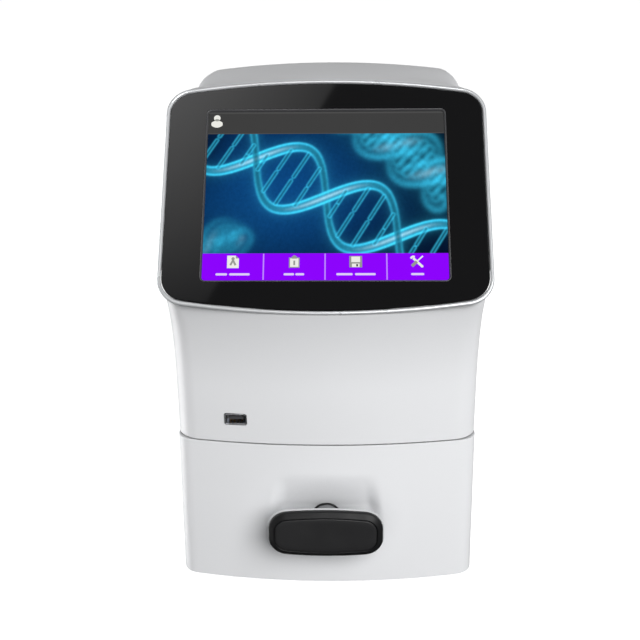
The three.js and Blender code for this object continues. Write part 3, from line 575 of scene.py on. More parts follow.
def cover_glass(material):
    """A flat plate on the display plane with the window cut out, its outer edge eased."""
    work = bmesh.new()

    def ring(outline, n):
        return [work.verts.new(Vector(on_display(x, v, n)) * MM) for x, v in outline]

    def wall(a, b):
        for i in range(len(a)):
            j = (i + 1) % len(a)
            work.faces.new((a[i], a[j], b[j], b[i]))

    def cap(a, b):
        edges = []
        for loop in (a, b):
            for i in range(len(loop)):
                pair = (loop[i], loop[(i + 1) % len(loop)])
                edges.append(work.edges.get(pair) or work.edges.new(pair))
        bmesh.ops.triangle_fill(work, use_beauty=True, use_dissolve=False, edges=edges)

    under, edge = HEAD_FACE + GAP, 0.45
    hole = window_outline(WINDOW_LIP)
    top_out, shoulder = ring(glass_outline(-edge), 0.0), ring(glass_outline(0), -edge * 0.7)
    low_out, top_in, low_in = ring(glass_outline(0), under), ring(hole, 0.0), ring(hole, under)
    wall(top_out, shoulder)
    wall(shoulder, low_out)
    wall(top_in, low_in)
    cap(top_out, top_in)
    cap(low_out, low_in)
    bmesh.ops.recalc_face_normals(work, faces=work.faces)
    return dress(put("cover_glass", work), material, CASING, "glass_black", "display_glass")


def window_frame(material):
    profile = [(WINDOW_LIP - 0.06, -2.4), (WINDOW_LIP - 0.06, -0.12), (WINDOW_LIP - 0.35, -0.02),
               (WINDOW_LIP - 0.7, -0.2), (0.05, PICTURE_DEPTH + 0.2), (0.0, -2.4)]
    rings = [display_ring(window_outline(grow), n) for grow, n in profile]
    return dress(hoop("window_frame", rings), material, CASING, "black_plastic")


def srgb(r, g, b):
    return [((c / 255 + 0.055) / 1.055) ** 2.4 if c > 10.3 else c / 255 / 12.92 for c in (r, g, b)]


def segment_distance(x, v, ax, av, bx, bv):
    dx, dv = bx - ax, bv - av
    t = np.clip(((x - ax) * dx + (v - av) * dv) / (dx * dx + dv * dv), 0, 1)
    return np.hypot(x - ax - t * dx, v - av - t * dv), t


def strand_points(origin, heading, pitch, width, phase, span, steps):
    """A strand of a helix seen from the side, as points with their depth."""
    s = np.linspace(span[0], span[1], steps)
    a = 2 * math.pi * s / pitch + phase
    ox, ov = origin
    c, d = math.cos(heading), math.sin(heading)
    off = width * np.sin(a)
    return ox + s * c - off * d, ov + s * d + off * c, np.cos(a), s


def screen_art(x, v):
    """The colours of an abstract double helix over deep blue, worked out at each point."""
    base = np.array(srgb(12, 70, 128))
    dark = np.array(srgb(4, 12, 34))
    glow = np.array(srgb(60, 200, 240))
    bright = np.array(srgb(225, 250, 255))
    light = np.exp(-((x + 30) ** 2 / 70 ** 2 + (v - 2) ** 2 / 52 ** 2))
    corner = np.clip((x - 20) / 62, 0, 1) * np.clip((v + 10) / 55, 0, 1)
    side = np.clip((-x - 62) / 22, 0, 1) * np.clip((v + 6) / 50, 0, 1)
    mix = np.clip(light * (1 - corner) * (1 - 0.75 * side), 0, 1)[..., None]
    colour = dark * (1 - mix) + base * mix
    helices = [
        ((52, 34), math.radians(-42), 62, 15, 0.4, (-46, 44), 7.0, 3.6, 0.42),
        ((-70, -34), math.radians(20), 50, 9, 1.0, (-30, 14), 6.0, 4.4, 0.16),
        ((-14, 6), math.radians(-31), 112, 25, 2.2, (-100, 104), 3.1, 0.7, 1.0),
    ]
    for origin, heading, pitch, width, phase, span, thick, soft, power in helices:
        for k in range(2):
            px, pv, depth, s = strand_points(origin, heading, pitch, width, phase + math.pi * k, span, 150)
            near = np.full(x.shape, 1e9)
            front = np.zeros(x.shape)
            for i in range(len(px) - 1):
                d, t = segment_distance(x, v, px[i], pv[i], px[i + 1], pv[i + 1])
                closer = d < near
                near = np.where(closer, d, near)
                front = np.where(closer, depth[i] * (1 - t) + depth[i + 1] * t, front)
            radius = thick * (1 + 0.28 * front)
            body = np.clip((radius - near) / soft + 0.5, 0, 1)
            edge = np.exp(-((near - radius * 0.82) / (0.22 * thick + soft * 0.3)) ** 2)
            halo = np.exp(-np.maximum(near - radius, 0) / (2.2 + soft))
            fill = (0.30 + 0.16 * front)[..., None] * glow + 0.1 * base
            strength = (body * power * 0.85)[..., None]
            colour = colour * (1 - strength) + fill * strength
            colour += (edge * power * (0.55 + 0.3 * front) + halo * power * 0.10)[..., None] * glow
            shine = np.clip(front, 0, 1) ** 3 * np.exp(-((near + 0.2) / (0.42 * thick)) ** 2)
            colour += (shine * power * 0.45)[..., None] * bright
        count = 17
        for i in range(count):
            s = span[0] + (span[1] - span[0]) * (i + 0.5) / count
            a = 2 * math.pi * s / pitch + phase
            reach_out = width * math.sin(a)
            if abs(reach_out) < width * 0.22:
                continue
            c, d = math.cos(heading), math.sin(heading)
            cx, cv = origin[0] + s * c, origin[1] + s * d
            for end in (1, -1):
                tip = 0.86 * reach_out * end
                root = 0.07 * reach_out * end
                dist, _ = segment_distance(x, v, cx - root * d, cv + root * c, cx - tip * d, cv + tip * c)
                bar = np.clip((thick * 0.42 - dist) / (soft * 0.6) + 0.5, 0, 1)
                rim = np.exp(-((dist - thick * 0.36) / (0.12 * thick + soft * 0.25)) ** 2)
                colour = colour * (1 - 0.55 * power * bar[..., None])
                colour += (0.15 * power * bar + rim * power * 0.42)[..., None] * glow
    grain = 1 + 0.05 * np.sin(x * 3.1 + np.sin(v * 1.7) * 2) * np.sin(v * 2.3 + np.cos(x * 1.3))
    return np.clip(colour * grain[..., None], 0, 1.0)


def picture(material):
    """The lit picture: a fine grid of points, each with its own colour."""
    step = 0.7
    across = int(2 * WINDOW_HALF / step) + 1
    up = int((STATUS_V - MENU_V) / step) + 1
    xs = np.linspace(-WINDOW_HALF, WINDOW_HALF, across)
    vs = np.linspace(MENU_V, STATUS_V, up)
    gx, gv = np.meshgrid(xs, vs)
    colour = screen_art(gx, gv).reshape(-1, 3)
    points = [on_display(x, v, PICTURE_DEPTH) for x, v in zip(gx.ravel(), gv.ravel())]
    mesh = bpy.data.meshes.new("screen_picture")
    mesh.from_pydata([tuple(p) for p in np.array(points) * MM], [], grid_faces(up, across, False))
    paint = mesh.color_attributes.new("picture", "FLOAT_COLOR", "POINT")
    paint.data.foreach_set("color", np.concatenate([colour, np.ones((len(colour), 1))], 1).ravel())
    obj = add_object("screen_picture", mesh)
    thicken(obj, 0.3)
    return dress(obj, material, CASING, "screen")


def slab(name, outline, n0, n1, material):
    obj = loft(name, [display_ring(outline, n0), display_ring(outline, n1)], False)
    obj.data.materials.append(material)
    return obj


def box_outline(x0, x1, v0, v1):
    return [(x0, v0), (x1, v0), (x1, v1), (x0, v1)]


def disc_outline(x, v, rx, rv, sides=28, start=0.0, sweep=360.0):
    angles = [math.radians(start + sweep * k / (sides if sweep == 360 else sides - 1)) for k in range(sides)]
    return [(x + rx * math.cos(a), v + rv * math.sin(a)) for a in angles]


def bar_outline(ax, av, bx, bv, wide):
    length = math.hypot(bx - ax, bv - av)
    nx, nv = -(bv - av) / length * wide / 2, (bx - ax) / length * wide / 2
    return [(ax + nx, av + nv), (ax - nx, av - nv), (bx - nx, bv - nv), (bx + nx, bv + nv)]


def moved(outline, x, v):
    return [(x + a, v + b) for a, b in outline]


def icon_shapes():
    """Four plain pictograms: a page, a clipboard, a diskette and crossed tools, as (outline, tone) pairs."""
    page = [
        ([(-3.9, -4.4), (3.9, -4.4), (3.9, 2.4), (1.8, 4.4), (-3.9, 4.4)], "pale"),
        ([(1.8, 4.4), (1.8, 2.4), (3.9, 2.4)], "mid"),
        (bar_outline(-1.7, -2.4, 0.2, 1.6, 1.3), "mid"),
        (bar_outline(1.7, -2.4, -0.2, 1.6, 1.3), "mid"),
        (disc_outline(0, 2.2, 1.1, 1.1, 18), "mid"),
    ]
    clipboard = [
        (box_outline(-3.5, 3.5, -4.2, 3.0), "mid"),
        (box_outline(-2.8, 2.8, -3.6, 2.4), "pale"),
        (box_outline(-1.7, 1.7, 2.2, 3.8), "mid"),
        (disc_outline(0, 3.9, 0.9, 0.7, 16), "mid"),
        (box_outline(-0.6, 0.6, -2.4, 0.8), "mid"),
    ]
    diskette = [
        ([(-4.2, -4.0), (4.2, -4.0), (4.2, 4.0), (-4.2, 4.0)], "mid"),
        (box_outline(-2.9, 2.9, -0.3, 3.6), "pale"),
        (box_outline(-2.5, 2.5, -3.8, -1.4), "pale"),
        (box_outline(0.3, 1.5, -3.4, -1.8), "dark"),
    ]
    tools = [
        (bar_outline(-2.7, 2.4, 3.0, -3.3, 1.6), "pale"),
        (disc_outline(3.0, -3.3, 0.9, 0.9, 16), "pale"),
        (bar_outline(-4.3, 2.2, -2.4, 4.0, 1.1), "pale"),
        (bar_outline(-4.3, 2.2, -3.4, 3.6, 1.1), "pale"),
        (bar_outline(-2.4, 4.0, -2.0, 2.8, 1.1), "pale"),
        (bar_outline(3.7, 3.9, -0.6, -0.2, 0.9), "pale"),
        (bar_outline(-0.4, 0.0, -3.6, -3.2, 2.0), "mid"),
    ]
    return [page, clipboard, diskette, tools]


def screen_overlays(tones):
    """Status bar, menu bar, its dividers, pictograms and plain bars where the captions go."""
    n = PICTURE_DEPTH

    def mark(outline, high, tone, low=0.0):
        return slab("mark", outline, n + low, n + high, tones[tone])

    def band(low, high):
        return box_outline(-WINDOW_HALF, WINDOW_HALF, low, high)

    def show(name, pieces):
        dress(join(name, pieces), None, CASING, "screen")

    show("status_bar", [mark(band(STATUS_V, WINDOW_RISE), 0, "status", -0.3),
                        mark(band(WINDOW_RISE - 1.3, WINDOW_RISE), 0.04, "edge"),
                        mark(band(STATUS_V - 0.35, STATUS_V + 0.25), 0.04, "edge")])
    show("user_symbol", [mark(disc_outline(-75.4, 57.6, 2.3, 2.3), 0.12, "pale"),
                         mark(moved(bowed_outline(3.9, 2.7, 1.6, 1.4, 8, 5), -75.4, 53.0), 0.12, "pale"),
                         mark(disc_outline(-75.4, 56.0, 1.7, 0.9), 0.16, "mid")])
    menu = [mark(band(-WINDOW_RISE, MENU_V), 0, "menu", -0.3)]
    for x in (-MENU_STEP, 0.0, MENU_STEP):
        menu.append(mark(box_outline(x - 0.42, x + 0.42, -WINDOW_RISE + 0.3, MENU_V - 0.2), 0.04, "line"))
    show("menu_bar", menu)
    captions = ((22.6, (0.34, 0.6)), (13.8, (0.5, 0.42)), (25.6, (0.42, 0.53)), (8.6, (1.0,)))
    for k, (shapes, (length, words)) in enumerate(zip(icon_shapes(), captions)):
        x = -60.9 + 40.55 * k
        parts = []
        for level, (outline, tone) in enumerate(shapes):
            parts.append(mark(moved(outline, x, SYMBOL_V), 0.06 + 0.03 * level, tone, -0.02))
        show(f"menu_symbol_{k + 1}", parts)
        pieces = []
        left = x - length / 2
        for share in words:
            wide = length * share
            outline = moved(rounded_rect(wide / 2, 0.75, 0.7, 4), left + wide / 2, CAPTION_V)
            pieces.append(mark(outline, 0.07, "caption", -0.02))
            left += wide + length * 0.06
        show(f"menu_caption_{k + 1}", pieces)


# ---- drawer pull and socket

def pull_outline(grow):
    return bowed_outline(HANDLE_HALF + grow, HANDLE_RISE + grow, HANDLE_BOW, HANDLE_CORNER + grow, 34, 12)


def pull_ring(grow, y):
    points = []
    for x, z in pull_outline(grow):
        pull_in = HANDLE_BULGE * min(abs(z) / (HANDLE_RISE + grow), 1) ** 2
        points.append((x - math.copysign(pull_in, x) * min(abs(x) / 8, 1), y, z + HANDLE_Z))
    return points


def pull(black, face, grey, post_shade_grey):
    back = HANDLE_BACK - 1 - GAP
    front = [(0.0, 2.7), (-0.25, 2.35), (-0.6, 2.1), (-2.9, 0.25), (-3.2, 0.06), (-3.5, 0.0), (-3.8, 0.06),
             (-4.0, 0.3), (-4.1, 1.2)]
    profile = [(-0.5, back), (0.0, back - 0.5)] + [(g, HANDLE_FRONT + d) for g, d in front]
    cover = loft("pull_cover", [pull_ring(g, y) for g, y in profile])
    dress(cover, black, DRAWER, "black_plastic", "handle_plate")
    seat = [(-4.4, 1.1), (-4.4, 0.62), (-4.55, 0.42), (-4.9, 0.3), (-7.6, 0.24), (-9.4, 0.2)]
    inset = loft("pull_face", [pull_ring(g, HANDLE_FRONT + d) for g, d in seat])
    dress(inset, face, DRAWER, "handle_face", "handle_insert")
    rings = []
    for grow, before in ((0.6, 1), (0.9, 0.8), (0.9, 0.3), (0.6, 0)):
        rings.append([(x, y, z - PLATE_DROP) for x, y, z in pull_ring(grow, HANDLE_BACK - before)])
    plate = loft("pull_back_plate", rings)
    end = FRONT + 7.2
    length = end - HANDLE_BACK + 0.3
    profile = [(0.2, 0.0), (POST_RADIUS, 0.0), (POST_RADIUS, length - 2.6), (POST_RADIUS + 0.1, length - 1.4),
               (POST_RADIUS - 0.2, length - 0.5), (POST_RADIUS - 0.8, length), (0.2, length)]
    stem = turned("pull_post", profile, (0, HANDLE_BACK - 0.3, POST_Z), (0, 1, 0), 64)
    dress(plate, grey, DRAWER, "grey_plastic")
    # The post takes the darker grey, painted shade for its place behind the pull.
    dress(stem, post_shade_grey, DRAWER, "grey_plastic", "handle_post")
    # Painted shade: a thin black ring round the post stands in for the shadow in the gap where the post meets
    # the drawer front.
    wide = POST_RADIUS + 0.9
    profile = [(0.2, 0.0), (wide - 0.2, 0.0), (wide, 0.3), (wide, 2.6), (0.2, 2.6)]
    shadow_ring = turned("post_shadow_ring", profile, (0, SHADOW_RING_Y, POST_Z), (0, 1, 0), 64)
    dress(shadow_ring, black, DRAWER, "black_plastic")


def upright_ring(outline, y, x0, z0):
    return [(x0 + x, y, z0 + z) for x, z in outline]


def usb_socket(steel, dark, gold):
    y0 = FRONT + 4.4
    outer = lambda grow: rounded_rect(7.3 + grow, 3.6 + grow, 0.9 + grow, 4)
    profile = [(0.0, 14), (0.0, 0.3), (-0.1, 0.05), (-0.35, 0), (-0.6, 0.25), (-0.7, 0.8), (-0.7, 12.6)]
    shell = loft("usb_shell", [upright_ring(outer(g), y0 + d, USB_X, USB_Z) for g, d in profile])
    dress(shell, steel, CASING, "steel", "usb_port")
    outline = rounded_rect(5.2, 0.95, 0.25, 3)
    rings = [upright_ring(outline, y, USB_X, USB_Z + 0.4) for y in (y0 + 1.4, y0 + 12.5)]
    dress(bevel(loft("usb_tongue", rings, False), 0.2), dark, CASING, "black_plastic")
    pins = []
    for k in range(4):
        x = -3.5 + 7.0 * k / 3
        outline = box_outline(x - 0.5, x + 0.5, -0.12, 0.1)
        rings = [upright_ring(outline, y, USB_X, USB_Z - 0.67) for y in (y0 + 2.2, y0 + 11.5)]
        pins.append(loft("pin", rings, False))
        pins[-1].data.materials.append(gold)
    dress(join("usb_contacts", pins), None, CASING, "brass")


# ---- block and rear hardware

def sample_block(material):
    """The block with its 12 by 8 tapered wells."""
    low, high = (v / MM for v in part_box("sample_block"))
    mid_y = (low.y + high.y) / 2
    pitch, radius, tip, depth, sides = 9.0, 3.05, 1.5, 14.5, 20
    top = high.z
    work = bmesh.new()
    turns = [2 * math.pi * (k + 0.5) / sides for k in range(sides)]
    square = [pitch / 2 / max(abs(math.cos(a)), abs(math.sin(a))) for a in turns]
    for i in range(12):
        for j in range(8):
            cx, cy = (i - 5.5) * pitch, mid_y + (j - 3.5) * pitch
            rings = []
            for sizes, z in ((square, top), ([radius + 0.25] * sides, top), ([radius] * sides, top - 0.3),
                             ([tip] * sides, top - depth)):
                rings.append([work.verts.new(Vector((cx + r * math.cos(a), cy + r * math.sin(a), z)) * MM)
                              for a, r in zip(turns, sizes)])
            for a, b in zip(rings, rings[1:]):
                for k in range(sides):
                    m = (k + 1) % sides
                    work.faces.new((a[k], a[m], b[m], b[k]))
            work.faces.new(rings[-1])
    bmesh.ops.remove_doubles(work, verts=work.verts, dist=0.001 * MM)
    field = put("well_field", work)
    field.data.materials.append(material)
    x1, y1 = 6 * pitch, 4 * pitch
    edge = lambda hx, hy, z: [(x, mid_y + y, z) for x, y in rounded_rect(hx, hy, 0.8, 3)]
    rings = [edge(x1 - 0.01, y1 - 0.01, top - 0.02), edge(x1 + 0.7, y1 + 1.2, top),
             edge(x1 + 1.0, y1 + 1.5, top - 0.4), edge(x1 + 1.0, y1 + 1.5, 76.0), edge(58, 40, 76.0),
             edge(58, 40, 70.2), edge(10, 10, 70.2)]
    faces = grid_faces(len(rings), len(rings[0]), True)
    skirt = add_mesh("block_skirt", [p for r in rings for p in r], faces, False)
    skirt.data.materials.append(material)
    block = join("well_block", [field, skirt])
    return dress(block, None, DRAWER, "aluminium", "sample_block")


def rear_screw(name, place, radius, material):
    profile = [(0.15, -0.5), (radius * 0.98, -0.5), (radius, 0.15), (radius * 0.82, 0.62),
               (radius * 0.45, 0.86), (0.15, 0.92)]
    head = turned(name, [(r, h * radius / 3) for r, h in profile], place, (0, 1, 0), 24)
    dress(head, material, CASING, "steel")


def rear_screws(material):
    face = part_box("rear_panel")[1].y / MM + 0.4
    places = [(x, z) for x in (-83, 83) for z in (20, 108, 200, 272)]
    for k, (x, z) in enumerate(places):
        rear_screw(f"panel_screw_{k + 1}", (x, face, z), 2.9, material)
    for side in ("left", "right"):
        low, high = (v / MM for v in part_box(f"fan_frame_{side}"))
        mid = (low + high) / 2
        for k, (sx, sz) in enumerate(((-1, -1), (1, -1), (-1, 1), (1, 1))):
            spot = (mid.x + sx * 25, face, mid.z + sz * 25)
            rear_screw(f"fan_screw_{side}_{k + 1}", spot, 2.4, material)


# ---- materials

def new_material(name):
    material = bpy.data.materials.new(name)
    material.use_nodes = True
    tree = material.node_tree
    return material, tree, tree.nodes["Principled BSDF"]


def wire(tree, start, end):
    tree.links.new(start, end)


def feed(tree, node, values):
    """Sets inputs of a node, each to a value or to the output of another node."""
    for key, value in values.items():
        if isinstance(value, bpy.types.NodeSocket):
            wire(tree, value, node.inputs[key])
        else:
            node.inputs[key].default_value = value


def noise(tree, vector, scale, detail=3.0):
    node = tree.nodes.new("ShaderNodeTexNoise")
    feed(tree, node, {"Scale": scale, "Detail": detail, "Vector": vector})
    return node.outputs["Fac"]


def stretch(tree, factors=(1, 1, 1)):
    """Object coordinates, scaled per axis."""
    coord = tree.nodes.new("ShaderNodeTexCoord")
    mapping = tree.nodes.new("ShaderNodeMapping")
    feed(tree, mapping, {"Scale": factors, "Vector": coord.outputs["Object"]})
    return mapping.outputs["Vector"]


def remap(tree, value, from_min, from_max, to_min, to_max):
    node = tree.nodes.new("ShaderNodeMapRange")
    feed(tree, node, {"Value": value, "From Min": from_min, "From Max": from_max, "To Min": to_min,
                      "To Max": to_max})
    return node.outputs["Result"]


def spread(tree, value, low, high):
    """Maps a noise value to a range."""
    return remap(tree, value, 0.3, 0.7, low, high)


def mix(tree, a, b, factor, blend="MIX"):
    node = tree.nodes.new("ShaderNodeMix")
    node.data_type = "RGBA"
    node.blend_type = blend
    feed(tree, node, {"A": a, "B": b, "Factor": factor})
    return node.outputs["Result"]


def opaque(colour, gain=1.0, add=0.0):
    return [min(c * gain + add, 1) for c in colour] + [1]


def emboss(tree, shader, height, strength, distance):
    node = tree.nodes.new("ShaderNodeBump")
    feed(tree, node, {"Strength": strength, "Distance": distance * MM, "Height": height})
    wire(tree, node.outputs["Normal"], shader.inputs["Normal"])


def finish(name, colour, rough, metal=0.0, vary=0.06, mottle=60.0, grain=1400.0, bump=0.02, depth=0.05,
           brush=None, specular=0.5, wear=0.0, shade=0.0):
    """A moulded, sprayed or machined surface: colour drift, uneven gloss and fine relief.

    brush is the per-axis scale of a drawn grain, wear lightens exposed edges and shade is painted shade,
    darkening the colour in corners and hollows.
    """
    colour = srgb(*colour)
    material, tree, shader = new_material(name)
    plain = stretch(tree)
    drift = noise(tree, plain, mottle, 4.0)
    fine = noise(tree, stretch(tree, brush), 1.0, 5.0) if brush else noise(tree, plain, grain)
    blend = tree.nodes.new("ShaderNodeMath")
    blend.operation = "MULTIPLY_ADD"
    feed(tree, blend, {0: spread(tree, fine, 0.0, 1.0), 1: 0.35, 2: spread(tree, drift, 0.0, 0.65)})
    result = mix(tree, opaque(colour, 1 - vary), opaque(colour, 1 + vary), blend.outputs[0])
    if wear:
        geometry = tree.nodes.new("ShaderNodeNewGeometry")
        mask = remap(tree, geometry.outputs["Pointiness"], 0.52, 0.62, 0.0, wear)
        result = mix(tree, result, opaque(colour, 1.5, 0.1), mask)
    # Painted shade: the colour is darkened where ambient occlusion finds nearby surfaces, standing in for
    # shadow in creases and recesses.
    if shade:
        painted_shade = tree.nodes.new("ShaderNodeAmbientOcclusion")
        painted_shade.inputs["Distance"].default_value = SHADE_REACH
        painted_shade.samples = 8
        weight = remap(tree, painted_shade.outputs["AO"], 0.25, 0.95, 1.0 - shade, 1.0)
        result = mix(tree, result, weight, 1.0, "MULTIPLY")
    emboss(tree, shader, fine, bump * 10, depth)
    gloss = spread(tree, drift, rough * 0.88, min(rough * 1.15, 1))
    feed(tree, shader, {"Base Color": result, "Roughness": gloss, "Metallic": metal,
                        "Specular IOR Level": specular})
    return material


def light_up(tree, shader, colour):
    """A surface that shows a colour of its own and reflects nothing."""
    feed(tree, shader, {"Emission Color": colour, "Emission Strength": 1.0, "Base Color": (0, 0, 0, 1),
                        "Specular IOR Level": 0.0})


def lit(name, colour, vary=0.03):
    """A lit patch of the screen, with a slight unevenness of its back light."""
    colour = srgb(*colour)
    material, tree, shader = new_material(name)
    value = noise(tree, stretch(tree), 60.0)
    light_up(tree, shader, mix(tree, opaque(colour, 1 - vary), opaque(colour, 1 + vary), value))
    return material


def picture_material():
    material, tree, shader = new_material("lit_picture")
    paint = tree.nodes.new("ShaderNodeAttribute")
    paint.attribute_name = "picture"
    tone = spread(tree, noise(tree, stretch(tree), 420.0, 4.0), 0.9, 1.08)
    light_up(tree, shader, mix(tree, paint.outputs["Color"], tone, 1.0, "MULTIPLY"))
    return material


def board_material():
    """Solder mask with lighter copper runs under it."""
    material, tree, shader = new_material("solder_mask")
    coord = stretch(tree)
    cells = tree.nodes.new("ShaderNodeTexVoronoi")
    cells.distance = "MANHATTAN"
    feed(tree, cells, {"Scale": 190.0, "Vector": coord})
    runs = cells.outputs["Distance"]
    colour = mix(tree, (0.012, 0.085, 0.035, 1), (0.035, 0.19, 0.075, 1), spread(tree, runs, 0.0, 1.0))
    gloss = spread(tree, noise(tree, coord, 300.0), 0.3, 0.5)
    feed(tree, shader, {"Base Color": colour, "Roughness": gloss})
    emboss(tree, shader, runs, 0.3, 0.05)
    return material


# ---- carried-over CAD nodes

def dress_cad(materials, widths):
    """Every CAD node gets its slot's material; each that still shows and is not in NO_BEVEL also gets eased
    edges.
    """
    for row in frame["record"]["subparts"]:
        node, slot = row["node"], row["material_slot"]
        obj = frame["nodes"][node]
        for k in range(len(obj.material_slots)):
            obj.material_slots[k].material = materials[slot]
        if obj.hide_render or node in NO_BEVEL:
            continue
        weld = obj.modifiers.new("weld", "WELD")
        weld.merge_threshold = 0.005 * MM
        bevel(obj, widths.get(node, widths.get(slot, 0.3)), 40)


NO_BEVEL = ["lead_screw", "fan_rotor_left", "fan_rotor_right"] + [f"lid_spring_{k}" for k in range(1, 5)]


# ---- camera, light and floor

def make_camera():
    data = bpy.data.cameras.new("camera")
    data.sensor_width = 36.0
    data.lens = 1000.0 / 640.0 * 36.0
    data.clip_start, data.clip_end = 0.02, 50.0
    cam = add_object("camera", data)
    yaw, pitch, roll = math.radians(1.415), math.radians(19.704), math.radians(-0.504)
    forward = Vector((-math.sin(yaw) * math.cos(pitch), math.cos(yaw) * math.cos(pitch), -math.sin(pitch)))
    right = Vector((math.cos(yaw), math.sin(yaw), 0))
    up = right.cross(forward)
    x = right * math.cos(roll) + up * math.sin(roll)
    y = -right * math.sin(roll) + up * math.cos(roll)
    turn = Matrix((x, y, -forward)).transposed().to_4x4()
    cam.matrix_world = Matrix.Translation(Vector((11.96, -765.2, 425.6)) * MM) @ turn
    scene.camera = cam
    return cam


def area_light(name, place, aim, size, size_y, power):
    data = bpy.data.lights.new(name, "AREA")
    data.shape = "RECTANGLE"
    data.size = size
    data.size_y = size_y
    data.energy = power
    light = add_object(name, data)
    light.location = place
    light.rotation_euler = (Vector(aim) - Vector(place)).to_track_quat("-Z", "Y").to_euler()


def stage(obj, material, camera=True, glossy=False):
    """Sets up a piece of the studio: it casts no shadow and lights nothing."""
    obj.data.materials.append(material)
    obj.visible_camera = camera
    obj.visible_diffuse = False
    obj.visible_glossy = glossy
    obj.visible_shadow = False


def reflected_card(camera):
    """A graded light card: its image in the glass ends along a slanting line and fades down and right."""
    eye = camera.matrix_world.translation / MM
    base = Vector(on_display(0, 0, 0))
    normal = Vector((0, -math.sin(TILT), math.cos(TILT)))
    mirrored = eye - 2 * (eye - base).dot(normal) * normal

    def along(x, v):
        spot = Vector(on_display(x, v, 0))
        return mirrored + (spot - mirrored) * CARD_FAR

    work = bmesh.new()
    layer = work.verts.layers.float_color.new("glow")
    steps = 12
    grid = []
    for r in range(steps + 1):
        v = CARD_LOW + (CARD_HIGH - CARD_LOW) * r / steps
        up = (v + CARD_HALF) / (2 * CARD_HALF)
        edge = CARD_EDGE_LOW + (CARD_EDGE_HIGH - CARD_EDGE_LOW) * up
        line = []
        for c in range(steps + 1):
            x = CARD_LEFT + (edge - CARD_LEFT) * c / steps
            vert = work.verts.new(along(x, v) * MM)
            over = (x + GLASS_HALF) / (2 * GLASS_HALF)
            level = max(0.14 + 0.86 * up, 0.1) * max(1.0 - 1.35 * max(over, 0.0), 0.1)
            vert[layer] = (level, level, level, 1)
            line.append(vert)
        grid.append(line)
    for r in range(steps):
        for c in range(steps):
            work.faces.new((grid[r][c], grid[r][c + 1], grid[r + 1][c + 1], grid[r + 1][c]))
    material, tree, shader = new_material("card_glow")
    paint = tree.nodes.new("ShaderNodeAttribute")
    paint.attribute_name = "glow"
    feed(tree, shader, {"Emission Color": paint.outputs["Color"], "Emission Strength": CARD_POWER,
                        "Base Color": (0, 0, 0, 1)})
    stage(put("glass_card", work), material, camera=False, glossy=True)


def make_floor():
    work = bmesh.new()
    bmesh.ops.create_grid(work, x_segments=24, y_segments=24, size=18.0)
    floor = put("floor", work)
    floor.location = (0, 0, -0.0002)
    material, tree, shader = new_material("studio_floor")
    value = noise(tree, stretch(tree), 3.0)
    feed(tree, shader, {"Base Color": spread(tree, value, 0.9, 0.92), "Roughness": 0.9,
                        "Specular IOR Level": 0.0, "Emission Color": (1, 1, 1, 1),
                        "Emission Strength": FLOOR_GLOW})
    stage(floor, material)


def make_backdrop():
    """A white dome behind the floor."""
    work = bmesh.new()
    bmesh.ops.create_uvsphere(work, u_segments=32, v_segments=16, radius=BACKDROP_RADIUS)
    material, tree, shader = new_material("backdrop_white")
    light_up(tree, shader, (1, 1, 1, 1))
    stage(put("backdrop", work), material)


def make_world():
    """Bright round the horizon, dim overhead."""
    world = bpy.data.worlds.new("studio")
    scene.world = world
    world.use_nodes = True
    tree = world.node_tree
    coord = tree.nodes.new("ShaderNodeTexCoord")
    split = tree.nodes.new("ShaderNodeSeparateXYZ")
    ramp = tree.nodes.new("ShaderNodeValToRGB")
    wire(tree, coord.outputs["Generated"], split.inputs[0])
    wire(tree, split.outputs["Z"], ramp.inputs["Fac"])
    stops = ramp.color_ramp.elements
    stops[0].position, stops[0].color = 0.0, (WORLD_LOW,) * 3 + (1,)
    stops[1].position, stops[1].color = 1.0, (WORLD_HIGH,) * 3 + (1,)
    for place, level in WORLD_STOPS:
        stop = stops.new(place)
        stop.color = (level, level, level, 1)
    wire(tree, ramp.outputs["Color"], tree.nodes["Background"].inputs["Color"])
    tree.nodes["Background"].inputs["Strength"].default_value = 1.0


camera = make_camera()
make_world()
make_floor()
make_backdrop()
reflected_card(camera)
area_light("front_key", (0.95, -2.15, 1.5), (0, 0, 0.15), 2.0, 1.8, 84.0)
area_light("left_strip", (-1.35, 0.3, 0.1), (-0.1, -0.1, 0.15), 1.0, 1.8, 21.0)
area_light("right_strip", (1.4, 0.35, 0.1), (0.1, -0.1, 0.15), 0.5, 1.8, 3.0)
area_light("back_card", (0, 1.9, -0.6), (0, 0, -0.6), 5.0, 2.0, 24.0)

# The shell plastic has painted shade (shade=0.55): its colour darkens in seams, creases and the hand recess
# round the pull.
shell = finish("shell_plastic", (234, 235, 237), 0.34, vary=0.012, mottle=9, grain=1500, bump=0.012,
               shade=0.55)
# Painted shade: a dark material for the cut edges of the walls, standing in for the shadow inside the seams.
painted_seam_shade = finish("painted_seam_shade", (60, 60, 62), 0.7, vary=0.08, grain=1800, bump=0.03, specular=0.2)
black = finish("black_plastic", (34, 34, 36), 0.42, vary=0.10, grain=2200, bump=0.03)
pull_black = finish("pull_satin", (23, 23, 24), 0.44, vary=0.08, mottle=70, grain=2600, bump=0.015,
                    specular=0.2)
pull_face = finish("pull_face", (41, 41, 42), 0.4, grain=2600, bump=0.015, specular=0.35)
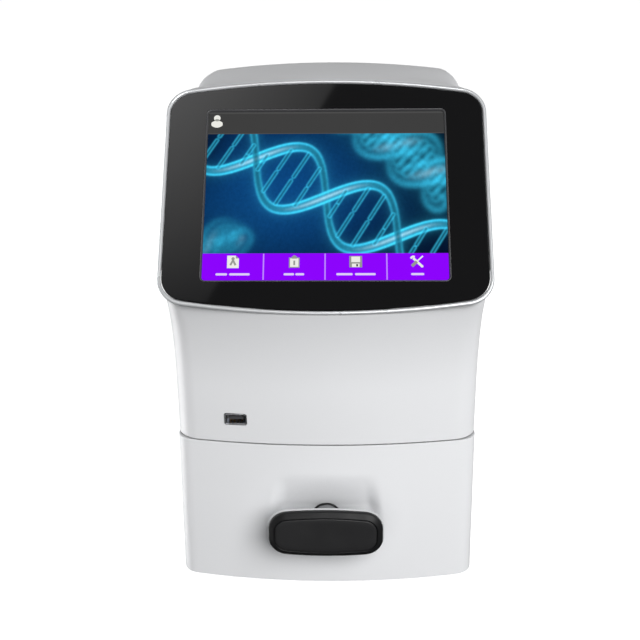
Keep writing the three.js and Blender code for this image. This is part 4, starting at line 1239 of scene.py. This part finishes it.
# Painted shade: a darker copy of the grey plastic for the pull's post, where it sits in shade behind the
# pull.
post_plastic_in_shade = finish("post_plastic_in_shade", (120, 121, 123), 0.5, vary=0.05, mottle=50, grain=1800)
plate_grey = finish("plate_grey", (196, 197, 199), 0.6, vary=0.03, mottle=40, grain=1800, specular=0.2)
grey = finish("grey_plastic", (222, 223, 225), 0.48, vary=0.03, mottle=40, grain=1800)
glass = finish("glass_black", (14, 14, 15), 0.045, vary=0.05, mottle=20, grain=90, bump=0.0005)
rim = finish("rim_silver", (205, 207, 209), 0.3, 0.35, vary=0.03, mottle=40, grain=1600, bump=0.01)
frame_grey = finish("window_frame_plastic", (66, 66, 68), 0.4, mottle=80, bump=0.01)
sheet = finish("sheet_steel", (196, 199, 202), 0.36, 0.85, mottle=30, brush=(40, 40, 1600), wear=0.4)
steel = finish("bright_steel", (186, 188, 192), 0.26, 1.0, vary=0.05, brush=(900, 60, 900), wear=0.3)
rubber = finish("foot_rubber", (38, 38, 39), 0.8, vary=0.15, mottle=120, grain=1500, bump=0.06, specular=0.25)
alloy = finish("machined_alloy", (204, 206, 208), 0.3, 0.95, vary=0.04, mottle=50, brush=(1500, 50, 1500),
               wear=0.3)
psu = finish("supply_case", (190, 193, 196), 0.38, 0.8, mottle=30, brush=(40, 1500, 1500))
motor = finish("motor_can", (60, 61, 64), 0.35, 0.6, vary=0.08, wear=0.4)
brass = finish("turned_brass", (200, 164, 92), 0.28, 1.0, brush=(60, 60, 1800))
heater = finish("hard_anodised", (70, 70, 74), 0.42, 0.4, vary=0.08, bump=0.03, wear=0.3)
ceramic = finish("alumina", (240, 238, 232), 0.6, vary=0.03, mottle=200, bump=0.03)
foam = finish("silicone_foam", (52, 60, 68), 0.9, vary=0.18, mottle=300, grain=900, bump=0.12, depth=0.2,
              specular=0.2)
panel = finish("lcd_back", (60, 62, 66), 0.35, 0.5, mottle=40)
board = board_material()
tones = {
    "status": lit("status_grey", (63, 63, 63)),
    "edge": lit("status_edge", (76, 76, 76)),
    "menu": lit("menu_violet", (140, 5, 252), 0.02),
    "line": lit("menu_line", (196, 140, 255)),
    "pale": lit("symbol_pale", (236, 236, 230)),
    "mid": lit("symbol_mid", (150, 152, 146)),
    "dark": lit("symbol_dark", (70, 72, 70)),
    "caption": lit("caption_white", (225, 208, 246)),
}

upper_housing(shell)
lower_housing(shell, painted_seam_shade)
drawer_front(shell, painted_seam_shade)
feet(rubber, steel)
bezel(rim)
cover_glass(glass)
window_frame(frame_grey)
picture(picture_material())
screen_overlays(tones)
pull(pull_black, pull_face, plate_grey, post_plastic_in_shade)
usb_socket(steel, frame_grey, brass)
sample_block(alloy)
rear_screws(steel)

dress_cad({
    "shell": shell, "sheet_steel": sheet, "rubber": rubber, "rim": rim, "glass_black": glass, "screen": panel,
    "circuit_board": board, "steel": steel, "psu_case": psu, "black_plastic": black, "handle_face": pull_face,
    "grey_plastic": grey, "motor": motor, "aluminium": alloy, "brass": brass, "heater": heater,
    "ceramic": ceramic, "foam": foam,
}, {"block_surround": 1.2, "drawer_tray": 0.5, "motor": 0.6, "sheet_steel": 0.35})
